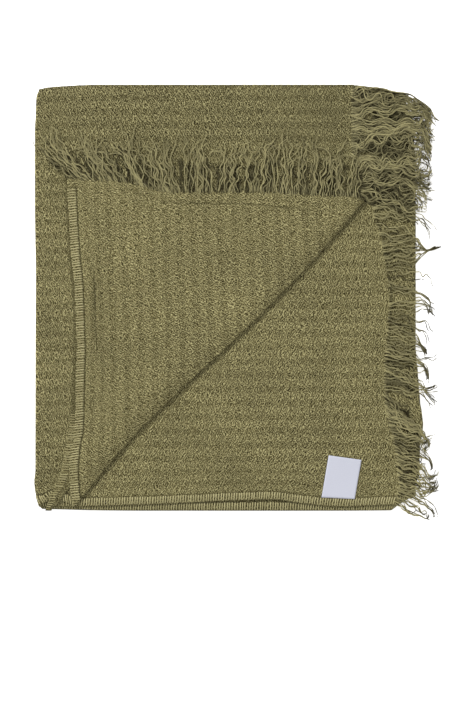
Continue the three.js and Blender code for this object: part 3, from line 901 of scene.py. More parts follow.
@dataclass(frozen=True)
class LinenYarn(Finish):
    """Linen yarn, spun and dyed with the cloth, uncovered in the fringe and in the overlocking.

    Its fibres lie along it in a slow twist, which gives it a dull silky streak, lighter on its top.
    They are drawn about 1 mm thick, because real ones are too fine to show.
    """

    name: str
    light: str
    dark: str
    roughness: float = 0.78
    fibres_in_metre: float = 900.0
    streak: float = 0.3

    def sockets(self, tree: NodeTree) -> dict[int | str, Any]:
        """Streaks each yarn about its own tone, which its tone attribute holds.

        Args:
            tree: The material's tree.

        Returns:
            The shader's inputs.
        """
        # The tone holds random variation and painted shade: under-layer strands, loops under other layers
        # and fringe tips come darker.
        tone = add_node(tree, "Attribute", {}, attribute_name="tone").outputs["Fac"]
        place = add_node(tree, "TexCoord", {}).outputs["Object"]
        fibres = add_node(tree, "TexNoise", {
            "Vector": place, "Scale": self.fibres_in_metre, "Detail": 2.0, "Roughness": 0.7})
        varied = add_node(tree, "Math", {
            0: fibres, 1: 2.0 * self.streak, 2: -self.streak}, operation="MULTIPLY_ADD")
        mixed = add_node(tree, "Math", {0: varied, 1: tone}, operation="ADD", use_clamp=True)
        colour = add_node(tree, "Mix", {
            "Factor": mixed, 6: linear(self.dark), 7: linear(self.light)}, data_type="RGBA")
        bump = add_node(tree, "Bump", {"Strength": 0.5, "Distance": 0.0003, "Height": fibres})
        return {
            "Base Color": colour.outputs[2], "Roughness": self.roughness, "Sheen Weight": 0.05,
            "Sheen Tint": linear(self.light), "Specular IOR Level": 0.2, "Normal": bump}


@dataclass(frozen=True)
class SatinRibbon(Finish):
    """Woven polyester ribbon, calendered smooth: a cool white with fine ribs and a soft gloss.

    The ribs are drawn 0.57 mm apart, twice as far as real ones, which are too fine to show.
    """

    name: str = "satin_ribbon"
    colour: str = "#D0D2DD"
    shade: str = "#C0C2CF"
    rib: float = 0.5655

    def sockets(self, tree: NodeTree) -> dict[int | str, Any]:
        """Ribs the ribbon along its own coordinates, which its weave attribute holds.

        Args:
            tree: The material's tree.

        Returns:
            The shader's inputs.
        """
        weave = add_node(tree, "Attribute", {}, attribute_name="weave").outputs["Vector"]
        ribs = add_node(tree, "TexWave", {
            "Vector": weave, "Scale": math.pi / (10.0 * self.rib), "Distortion": 0.4},
            wave_type="BANDS", bands_direction="Y").outputs["Fac"]
        flecks = add_node(tree, "TexNoise", {"Vector": weave, "Scale": 0.9, "Detail": 2.0})
        colour = add_node(tree, "Mix", {
            "Factor": flecks, 6: linear(self.shade), 7: linear(self.colour)}, data_type="RGBA")
        bump = add_node(tree, "Bump", {"Strength": 0.25, "Distance": 0.0002, "Height": ribs})
        return {
            "Base Color": colour.outputs[2], "Roughness": 0.45, "Sheen Weight": 0.1,
            "Specular IOR Level": 0.45, "Normal": bump}


@dataclass(frozen=True)
class BackdropPaper(Finish):
    """Matt white paper over a light table, so evenly lit from below that no shadow shows on it."""

    name: str = "backdrop_paper"
    colour: str = "#FAFAFA"
    glow: float = 0.66

    def sockets(self, tree: NodeTree) -> dict[int | str, Any]:
        """Lights the paper from below, all over alike.

        Args:
            tree: The material's tree, which needs no other nodes.

        Returns:
            The shader's inputs.
        """
        return {
            "Base Color": linear(self.colour), "Roughness": 0.95, "Specular IOR Level": 0.1,
            "Emission Color": linear(self.colour), "Emission Strength": self.glow}


def make_piece(
    name: str,
    points: np.ndarray,
    faces: list[np.ndarray],
    material: Material,
    carried: dict[str, np.ndarray],
) -> Object:
    """Makes a mesh object from places on the plan.

    Args:
        name: The piece's name.
        points: Its points in millimetres.
        faces: Arrays of point numbers, a face in each row.
        material: Its material.
        carried: Numbers or vectors that its points carry, by attribute name.

    Returns:
        The object, linked to the scene.
    """
    mesh = bpy.data.meshes.new(name)
    corners = np.concatenate([rows.ravel() for rows in faces])
    totals = np.concatenate([np.full(len(rows), rows.shape[1]) for rows in faces])
    starts = np.concatenate([[0], np.cumsum(totals)[:-1]])
    mesh.vertices.add(len(points))
    mesh.loops.add(len(corners))
    mesh.polygons.add(len(totals))
    mesh.vertices.foreach_set("co", Plan().metres(points).astype(np.float32).ravel())
    mesh.loops.foreach_set("vertex_index", corners.astype(np.int32))
    mesh.polygons.foreach_set("loop_start", starts.astype(np.int32))
    mesh.polygons.foreach_set("use_smooth", np.ones(len(totals), bool))
    for attribute, values in carried.items():
        kind, key = ("FLOAT_VECTOR", "vector") if values.ndim == 2 else ("FLOAT", "value")
        layer = mesh.attributes.new(attribute, kind, "POINT")
        layer.data.foreach_set(key, values.astype(np.float32).ravel())
    mesh.update(calc_edges=True)
    mesh.validate()
    mesh.materials.append(material)
    piece = bpy.data.objects.new(name, mesh)
    bpy.context.scene.collection.objects.link(piece)
    triangles = int((totals - 2).sum())
    LOG.info("%s: %d points, %d triangles", name, len(points), triangles)
    return piece


def slab_faces(steps_along: int, steps_across: int) -> list[np.ndarray]:
    """Makes the faces of a thin slab whose two sides are grids of points, one side after the other.

    Args:
        steps_along: Spaces along each grid.
        steps_across: Spaces across it.

    Returns:
        The faces of the first side, of the second and of the rim.
    """
    size = (steps_along + 1) * (steps_across + 1)
    number = np.arange(size).reshape(steps_along + 1, steps_across + 1)
    top = np.stack([number[:-1, :-1], number[1:, :-1], number[1:, 1:], number[:-1, 1:]], axis=-1)
    top = top.reshape(-1, 4)
    ring = np.concatenate([number[:-1, 0], number[-1, :-1], number[:0:-1, -1], number[0, :0:-1]])
    beside = np.roll(ring, -1)
    rim = np.stack([beside, ring, ring + size, beside + size], axis=-1)
    return [top, top[:, ::-1] + size, rim]


@dataclass(frozen=True)
class Tubes:
    """Many like tubes as one mesh: yarns or stitches.

    Each tube has its places in a row of paths, and an oval section that is wide across its up vector
    and high along it.
    """

    paths: np.ndarray
    wide: np.ndarray
    high: np.ndarray
    ups: np.ndarray
    sides: int

    def points(self) -> np.ndarray:
        """Places the tubes' points.

        Returns:
            The points, section after section.
        """
        ways = unit(np.gradient(self.paths, axis=1))
        across = unit(np.cross(ways, self.ups))
        above = np.cross(across, ways)
        angles = np.arange(self.sides) * 2.0 * math.pi / self.sides + math.pi / 2.0
        reach = np.cos(angles)[:, None] * (across * self.wide[..., None])[:, :, None]
        rise = np.sin(angles)[:, None] * (above * self.high[..., None])[:, :, None]
        return (self.paths[:, :, None] + reach + rise).reshape(-1, 3)

    def faces(self) -> list[np.ndarray]:
        """Makes the tubes' faces.

        Returns:
            The walls, and the caps at both ends.
        """
        count, sections = self.paths.shape[:2]
        first = np.arange(count)[:, None, None] * sections * self.sides
        ring = first + np.arange(sections - 1)[:, None] * self.sides
        corner = np.arange(self.sides)
        beside = (corner + 1) % self.sides
        walls = np.stack(np.broadcast_arrays(
            ring + corner, ring + beside, ring + self.sides + beside, ring + self.sides + corner), axis=-1)
        starts = first[:, 0] + corner[::-1]
        ends = first[:, 0] + (sections - 1) * self.sides + corner
        return [walls.reshape(-1, 4), starts, ends]

    def spread(self, values: np.ndarray) -> np.ndarray:
        """Returns a value for each tube, or for each of its sections, as one for each point."""
        each = values if values.ndim == 2 else values[:, None]
        return np.repeat(np.broadcast_to(each, self.paths.shape[:2]).ravel(), self.sides)


@dataclass(frozen=True)
class Lattice:
    """Lines on the flat cloth where its faces may end, and how faces of unlike sizes meet on them.

    A face covers whole spaces between lines, at most span of them each way.
    """

    along: np.ndarray
    across: np.ndarray
    span: int = 32

    def blocks(self, wanted: Callable[[np.ndarray], np.ndarray]) -> np.ndarray:
        """Halves the cloth's blocks, one way or the other, until each is as small as is wanted there.

        Args:
            wanted: Gives, for blocks in millimetres, how many spaces each may cover both ways.

        Returns:
            Blocks by their first and last lines: along from, along to, across from, across to.
        """
        i, j = np.meshgrid(
            np.arange(0, len(self.along) - 1, self.span), np.arange(0, len(self.across) - 1, self.span),
            indexing="ij")
        blocks = np.stack([i, i + self.span, j, j + self.span], axis=-1).reshape(-1, 4)
        split = True
        while split:
            split = False
            for way in (0, 1):
                edges = np.concatenate([self.along[blocks[:, :2]], self.across[blocks[:, 2:]]], axis=-1)
                sizes = blocks[:, 2 * way + 1] - blocks[:, 2 * way]
                large = sizes > wanted(edges)[:, way]
                halves = np.repeat(blocks[large][None], 2, axis=0)
                middle = halves[0, :, 2 * way] + sizes[large] // 2
                halves[0, :, 2 * way + 1] = middle
                halves[1, :, 2 * way] = middle
                blocks = np.concatenate([blocks[~large], *halves])
                split = split or bool(large.any())
        return blocks

    def corners(self, blocks: np.ndarray) -> np.ndarray:
        """Finds the crossings of lines that are corners of some block.

        Args:
            blocks: The blocks.

        Returns:
            A mark for each crossing.
        """
        used = np.zeros((len(self.along), len(self.across)), bool)
        for way_i in (0, 1):
            for way_j in (2, 3):
                used[blocks[:, way_i], blocks[:, way_j]] = True
        return used

    def faces(self, blocks: np.ndarray) -> list[np.ndarray]:
        """Makes a face of each block. It takes in its neighbours' corners, so that no gap opens.

        Args:
            blocks: The blocks that cover the cloth.

        Returns:
            Faces as rows of crossing numbers, in one array for each number of corners.
        """
        used = self.corners(blocks)
        rows = len(self.across)
        faces: dict[int, list[list[int]]] = {}
        for a, b, c, d in blocks.tolist():
            ring = [k * rows + c for k in range(a, b) if used[k, c]]
            ring += [b * rows + k for k in range(c, d) if used[b, k]]
            ring += [k * rows + d for k in range(b, a, -1) if used[k, d]]
            ring += [a * rows + k for k in range(d, c, -1) if used[a, k]]
            faces.setdefault(len(ring), []).append(ring)
        return [np.array(rings) for rings in faces.values()]

    def border(self, used: np.ndarray) -> np.ndarray:
        """Goes round the cloth.

        Args:
            used: A mark for each crossing that is a corner of some block.

        Returns:
            The numbers of the marked crossings on the border, in order.
        """
        rows = len(self.across)
        last_i, last_j = len(self.along) - 1, rows - 1
        ring = [k * rows for k in range(last_i) if used[k, 0]]
        ring += [last_i * rows + k for k in range(last_j) if used[last_i, k]]
        ring += [k * rows + last_j for k in range(last_i, 0, -1) if used[k, last_j]]
        ring += [k for k in range(last_j, 0, -1) if used[0, k]]
        return np.array(ring)


def meets(edges: np.ndarray, low: float, high: float, reach: float = 0.0) -> np.ndarray:
    """Tells which blocks come within reach of a stretch.

    Args:
        edges: The first and last place of each block.
        low: Where the stretch starts.
        high: Where it ends.
        reach: How near is near.

    Returns:
        A mark for each block.
    """
    return (edges[:, 1] > low - reach) & (edges[:, 0] < high + reach)


@dataclass(frozen=True)
class ThrowCloth:
    """The woven cloth, one piece, with its overlocked edges and its plain bands at the fringed ends."""

    sheet: FoldedSheet
    ply: EdgePly
    linen: WashedLinen
    ply_half_thickness: float = 0.3
    ply_steps_along: int = 250
    ply_steps_across: int = 8
    half_thickness: float = 0.6
    pillow: float = 0.15
    band: float = 11.0
    strip: float = 13.0
    front_strip: float = 14.6
    seam_depth: float = 0.35
    seam_width: float = 1.5
    # Painted shadow in the needle-hole groove, and painted shade on the cloth between the overlock
    # stitches.
    needle_shade: float = 0.5
    front_needle_shade: float = 0.9
    strip_shade: float = 0.2
    # A tuck's line is painted shadow in its fold; the missed pick's line is the weave's own.
    dark_lines: tuple[Ripple, ...] = (
        Ripple(start=(104, 39.3), end=(262, 39.3), height=0.85, width=1.4),
        Ripple(start=(15, 90), end=(26, 420), height=0.6, width=1.1),
    )
    dull_reverse: Profile = Profile(((0, 0.6), (120, 0.5), (220, 0.2), (400, 0.25), (540, 1.0)))
    lines_along: int = 1024
    lines_back: int = 416
    lines_hairpin: int = 8
    lines_front: int = 408
    largest_face: int = 16
    crease_shows: tuple[float, float] = (-20.0, 60.0)
    crease_rolls: tuple[float, float] = (-1.0, 8.0)
    lies_bare_from: float = -12.0
    shows_right_of: float = 500.0
    shows_on_left: float = 100.0
    shows_on_top: float = 200.0

    def lattice(self) -> Lattice:
        """Rules the flat cloth.

        Returns:
            The lattice, with its lines close together round the fold across the width.
        """
        start = self.sheet.top
        stop = start + self.sheet.hairpin
        across = np.concatenate([
            np.linspace(0.0, start, self.lines_back, endpoint=False),
            np.linspace(start, stop, self.lines_hairpin, endpoint=False),
            np.linspace(stop, self.sheet.width, self.lines_front + 1)])
        return Lattice(np.linspace(0.0, self.sheet.length, self.lines_along + 1), across)

    def wanted(self, side: Side, edges: np.ndarray) -> np.ndarray:
        """Decides how large faces may be: small where they show or bend, large where they are hidden.

        Args:
            side: The side of the cloth.
            edges: The blocks' edges in millimetres: along from and to, across from and to.

        Returns:
            How many spaces a block may cover, along and across.
        """
        sheet = self.sheet
        _, right_start, right_stop, left_start, left_stop, _ = sheet.knots
        along, across = edges[:, :2], edges[:, 2:]
        fold_start, fold_stop = sheet.top, sheet.top + sheet.hairpin
        back, front = across[:, 0] < fold_start, across[:, 1] > fold_stop
        inner, outer = along[:, 0] < right_start, along[:, 1] > left_stop
        x = np.clip(along.mean(axis=1) - left_stop, 0.0, sheet.outer_end)
        y = np.where(front, sheet.width - across.mean(axis=1), across.mean(axis=1))
        past = sheet.past_crease(x, y)
        reach = 0.5 * np.hypot(along[:, 1] - along[:, 0], across[:, 1] - across[:, 0])
        want = np.full((len(edges), 2), self.largest_face)

        def limit(here: np.ndarray, most_along: int, most_across: int) -> None:
            """Makes the faces smaller in the marked blocks."""
            want[here] = np.minimum(want[here], (most_along, most_across))

        def by_crease(low: float, high: float) -> np.ndarray:
            """Marks the blocks that come between two distances past the crease."""
            return (past > low - reach) & (past < high + reach)

        outside = side is Side.OUTSIDE
        if outside:
            limit(inner & back, 4, 4)
            limit(outer & front & by_crease(*self.crease_shows), 4, 4)
            limit(back & meets(along, right_stop, right_stop + sheet.right - self.shows_right_of), 2, 2)
            on_left = meets(along, left_stop, left_stop + self.shows_on_left)
            on_top = meets(across, fold_start, fold_stop + self.shows_on_top)
            limit(outer & front & (past < reach) & (on_left | on_top), 2, 2)
        else:
            limit(outer & (back | front) & by_crease(self.lies_bare_from, math.inf), 2, 2)
            limit(outer & front & by_crease(*self.crease_rolls), 1, 1)
        for start, stop in ((right_start, right_stop), (left_start, left_stop)):
            limit(meets(along, start, stop, 2.0), 1, 2 if outside else 8)
        on_fold = meets(across, fold_start, fold_stop, 1.0)
        limit(on_fold, 4 if outside else 8, 1 if outside else 2)
        limit(on_fold & outer & outside, 2, 1)
        for edge_from, edge_to in ((0.0, self.strip), (sheet.width - self.front_strip, sheet.width)):
            on_edge = meets(across, edge_from, edge_to, 2.0)
            limit(on_edge, 4, 4)
            limit(on_edge & outer & (not outside), 2, 1)
        limit(meets(along, 0.0, 5.0) | meets(along, sheet.length - 5.0, sheet.length), 4, 4)
        for line in self.dark_lines:
            near = meets(along, sheet.length - line.end[0], sheet.length - line.start[0], 1.5)
            near &= meets(across, sheet.width - line.end[1], sheet.width - line.start[1], 1.5)
            limit(near & (not outside), 1, 1)
        return want

    def past_strip(self, across: np.ndarray) -> np.ndarray:
        """Returns how far points lie from the line of needle holes, towards the middle of the cloth."""
        return np.minimum(across - self.strip, self.sheet.width - across - self.front_strip)

    def plainness(self, along: np.ndarray, across: np.ndarray) -> np.ndarray:
        """Finds where the cloth is woven plain, at its ends and edges.

        Args:
            along: Places along the cloth.
            across: Places across it.

        Returns:
            1 where it is plain and 0 in the diamonds.
        """
        from_end = np.minimum(along, self.sheet.length - along)
        uneven = 2.5 * SoftNoise(seed=11, grain=9.0).at(across, along)
        at_end = 1.0 - ease((from_end - self.band - uneven) / 5.0)
        at_edge = 1.0 - ease(self.past_strip(across) / 3.0)
        return np.maximum(at_end, at_edge)

    def seam_and_shade(self, across: np.ndarray) -> np.ndarray:
        """Returns how deep a point lies in the line of needle holes beside the overlocking, for its groove
        and its painted shadow.
        """
        return np.exp(-((self.past_strip(across) / self.seam_width) ** 2))

    def shade(self, along: np.ndarray, across: np.ndarray) -> np.ndarray:
        """Finds how dark the cloth is painted: painted shade between the overlock stitches and in the
        needle-hole groove, and the dark lines.

        The dark lines lie at places from the outer end and the front edge: painted shadow in a tuck's fold,
        and a missed pick in the weave.

        Args:
            along: Places along the cloth.
            across: Places across it.

        Returns:
            How much of the painted shade's colour shows, from 0 to 1.
        """
        from_end, from_edge = self.sheet.length - along, self.sheet.width - across
        lines = sum(line.lift(from_end, from_edge) for line in self.dark_lines)
        # Painted shade on the cloth between the overlock stitches.
        shade_between_stitches = self.strip_shade * (1.0 - ease((self.past_strip(across) + 1.0) / 2.0))
        at_front = across > 0.5 * self.sheet.width
        # Painted shadow in the needle-hole groove.
        holes = np.where(at_front, self.front_needle_shade, self.needle_shade) * self.seam_and_shade(across)
        sewn_to = self.sheet.length - self.sheet.plain_corner
        unsewn = ease((along - sewn_to) / 3.0) * at_front
        return np.maximum(lines, np.maximum(shade_between_stitches, holes) * (1.0 - unsewn))

    def ply_shade(self, along: np.ndarray) -> np.ndarray:
        """Returns the painted shadow on the ply under the turned corner: darkest where it is tucked under
        most.
        """
        return mix(self.strip_shade, 0.5, ease((along - self.ply.sewn_to_show + 60.0) / 60.0))

    def relief(self, along: np.ndarray, across: np.ndarray) -> np.ndarray:
        """Finds how far the cloth's face stands off its middle surface.

        Args:
            along: Places along the cloth.
            across: Places across it.

        Returns:
            The height in millimetres.
        """
        u = 2.0 * math.pi * along / self.linen.diamond_along
        v = 2.0 * math.pi * across / self.linen.diamond_across
        pillow = np.cos(u) * np.cos(v) + 0.5 * np.cos(v)
        woven = self.pillow * pillow * (1.0 - self.plainness(along, across))
        return self.half_thickness + woven - self.seam_depth * self.seam_and_shade(across)

    def rim(self, upper: np.ndarray, lower: np.ndarray, total: int) -> list[np.ndarray]:
        """Joins the borders of both sides with faces that take in every point of either.

        Args:
            upper: Crossings round the inside's border.
            lower: Crossings round the outside's.
            total: What is added to a crossing's number on the outside.

        Returns:
            Faces as rows of point numbers.
        """
        on_lower = set(lower.tolist())
        both = [number for number in upper.tolist() if number in on_lower]
        place_upper = {number: place for place, number in enumerate(upper.tolist())}
        place_lower = {number: place for place, number in enumerate(lower.tolist())}
        faces: dict[int, list[list[int]]] = {}
        for number, after in zip(both, both[1:] + both[:1]):
            start, stop = place_upper[number], place_upper[after]
            low_start, low_stop = place_lower[number], place_lower[after]
            stop += len(upper) if stop <= start else 0
            low_stop += len(lower) if low_stop <= low_start else 0
            ring = [int(upper[place % len(upper)]) for place in range(stop, start - 1, -1)]
            ring += [int(lower[place % len(lower)]) + total for place in range(low_start, low_stop + 1)]
            faces.setdefault(len(ring), []).append(ring)
        return [np.array(rings) for rings in faces.values()]

    def build(self) -> Object:
        """Makes the cloth and the ply that peeks out as one mesh of two closed forms.

        Returns:
            The cloth.
        """
        lattice = self.lattice()
        total = len(lattice.along) * len(lattice.across)
        sides = {side: lattice.blocks(partial(self.wanted, side)) for side in Side}
        rims = {side: lattice.border(lattice.corners(blocks)) for side, blocks in sides.items()}
        faces = lattice.faces(sides[Side.INSIDE])
        faces += [rows[:, ::-1] + total for rows in lattice.faces(sides[Side.OUTSIDE])]
        faces += self.rim(rims[Side.INSIDE], rims[Side.OUTSIDE], total)
        used = np.unique(np.concatenate([rows.ravel() for rows in faces]))
        faces = [np.searchsorted(used, rows) for rows in faces]
        along = lattice.along[used % total // len(lattice.across)]
        across = lattice.across[used % total % len(lattice.across)]
        height = self.relief(along, across) * np.where(used < total, 1.0, -1.0)
        points = self.sheet.surface(along, across, height)
        ply_points, ply_faces, ply_flat = self.edge_ply()
        faces += [rows + len(points) for rows in ply_faces]
        flat = np.stack([along, across, np.zeros(len(along))], axis=-1)
        reverse = np.where(used < total, 0.0, 1.0)
        on_ply = np.ones(len(ply_points))
        carried = {
            "weave": np.concatenate([flat, ply_flat]),
            "plainness": np.concatenate([self.plainness(along, across), on_ply]),
            # Painted shade on the cloth and on the ply, with the missed pick's line.
            "seam_and_shade": np.concatenate([self.shade(along, across), self.ply_shade(ply_flat[:, 0])]),
            "reverse": np.concatenate([reverse, 0.0 * on_ply]),
            "dullness": np.concatenate([reverse * self.dull_reverse.at(points[:, 1]), 0.0 * on_ply]),
        }
        points = np.concatenate([points, ply_points])
        return make_piece("woven_cloth", points, faces, self.linen.build(), carried)

    def edge_ply(self) -> tuple[np.ndarray, list[np.ndarray], np.ndarray]:
        """Makes the ply that peeks out from under the turned corner.

        Returns:
            Its points, its faces and its own coordinates.
        """
        along, across = np.meshgrid(
            np.linspace(0.0, self.ply.length, self.ply_steps_along + 1),
            np.linspace(0.0, self.ply.width, self.ply_steps_across + 1), indexing="ij")
        sides = [
            self.ply.surface(along, across, side * self.ply_half_thickness * np.ones(along.shape))
            for side in (1.0, -1.0)]
        flat = np.stack([along, across, 0.0 * along], axis=-1).reshape(-1, 3)
        points = np.concatenate([side.reshape(-1, 3) for side in sides])
        return points, slab_faces(self.ply_steps_along, self.ply_steps_across), np.concatenate([flat, flat])


@dataclass(frozen=True)
class Overlocking:
    """Overlock stitches along one long edge of a cloth: loops of thread that wrap the raw edge.

    Loops up to a place along the cloth lie under other layers, and their thread is painted darker by a
    shade for the shadow there.
    """

    cloth: LaidCloth
    length: float
    far_edge: float | None = None
    pitch: float = 3.8
    reach: float = 12.3
    wide: float = 0.85
    high: float = 0.42
    over: float = 1.0
    lowest: float = 0.55
    slant: float = 1.0
    shaded_to: float = 0.0
    shade: float = 0.12
    lowest_tone: float = 0.3
    bow: float = 1.4
    dips_from: float = 0.86
    turns_within: float = 0.12
    narrow: float = 0.85
    flare: float = 1.3
    uneven_pitch: float = 0.25
    uneven_thread: float = 0.12
    uneven_reach: tuple[float, float] = (0.94, 1.04)
    off_floor: float = 0.2
    sections: int = 12
    sides: int = 5
    seed: int = 21

    def edge_run(self) -> tuple[np.ndarray, np.ndarray]:
        """Measures the edge as it lies.

        Returns:
            Places along the cloth, and how far along the laid edge each of them is.
        """
        places = np.linspace(0.0, self.length, 1 + int(self.length / 2.0))
        edge = self.cloth.lay(places, np.full(len(places), self.far_edge or 0.0))
        steps = np.linalg.norm(np.diff(edge, axis=0), axis=1)
        return places, np.concatenate([[0.0], np.cumsum(steps)])

    def loops(self) -> tuple[Tubes, np.ndarray]:
        """Makes the loops.

        Returns:
            The loops, and how light the thread of each of them is.
        """
        rng = np.random.default_rng(self.seed)
        places, gone = self.edge_run()
        count = int(gone[-1] / self.pitch) - 1
        start = (np.arange(count) + 1.0) * self.pitch + rng.normal(0.0, self.uneven_pitch, count)
        start = np.interp(start, gone, places)
        way = np.linspace(-1.0, 1.0, self.sections)
        from_edge = self.reach * np.abs(way) ** self.bow * rng.uniform(*self.uneven_reach, (count, 1))
        round_edge = np.sqrt(np.maximum(0.0, 1.0 - (from_edge / self.over) ** 2))
        astray = rng.normal(0.0, self.uneven_thread, (count, self.sections))
        along = start[:, None] + self.slant * way + astray
        beyond = from_edge - self.over * round_edge
        across = beyond if self.far_edge is None else self.far_edge - beyond
        dip = 1.0 - between(np.abs(way), self.dips_from, 1.0)
        height = np.clip(way / self.turns_within, -1.0, 1.0) * mix(self.lowest, self.over, dip)
        height = np.broadcast_to(height, along.shape)
        flat = (along.ravel(), across.ravel())
        paths = self.cloth.surface(*flat, height.ravel()).reshape(along.shape + (3,))
        middle = self.cloth.lay(*flat).reshape(along.shape + (3,))
        ups = unit(paths - middle)
        paths[..., 2] = np.maximum(paths[..., 2], self.high + self.off_floor)
        shape = np.ones(along.shape)
        spread = mix(self.narrow, self.flare, between(np.abs(way), 0.5, 0.9))
        tubes = Tubes(paths, self.wide * spread * shape, self.high * shape, ups, self.sides)
        # Loops under other layers are painted darker by the shade.
        return tubes, rng.uniform(self.lowest_tone, 1.0, count) - self.shade * (start < self.shaded_to)


def make_tubes(name: str, sets: list[tuple[Tubes, np.ndarray]], material: Material) -> Object:
    """Makes one piece of several sets of tubes.

    Args:
        name: The piece's name.
        sets: The tubes, each set with its tubes' tones.
        material: The piece's material.

    Returns:
        The piece.
    """
    points, faces, tones, total = [], [], [], 0
    for tubes, tone in sets:
        places = tubes.points()
        points.append(places)
        faces += [rows + total for rows in tubes.faces()]
        tones.append(tubes.spread(tone))
        total += len(places)
    return make_piece(name, np.concatenate(points), faces, material, {"tone": np.concatenate(tones)})


@dataclass(frozen=True)
class Roots:
    """The strands of a run of fringe at their roots, drawn together in locks.

    All but their places and their locks' numbers is in columns, with a row for each strand, and so is
    what is drawn at random for the strands.
    """

    rng: np.random.Generator
    places: np.ndarray
    by: np.ndarray
    inset: np.ndarray
    under: np.ndarray
    lock: np.ndarray

    @property
    def locks(self) -> int:
        """Number of locks."""
        return int(self.lock[-1]) + 1

    def own(self, low: float, high: float) -> np.ndarray:
        """Draws a number between two others for each strand."""
        return self.rng.uniform(low, high, self.under.shape)

    def shared(self, low: float, high: float) -> np.ndarray:
        """Draws a number between two others for each lock, and gives it to the lock's strands."""
        return self.rng.uniform(low, high, self.locks)[self.lock][:, None]

    def own_stray(self, spread: float) -> np.ndarray:
        """Draws how far each strand strays."""
        return self.rng.normal(0.0, spread, self.under.shape)

    def shared_stray(self, spread: float) -> np.ndarray:
        """Draws how far each lock strays, and gives that to its strands."""
        return self.rng.normal(0.0, spread, self.locks)[self.lock][:, None]


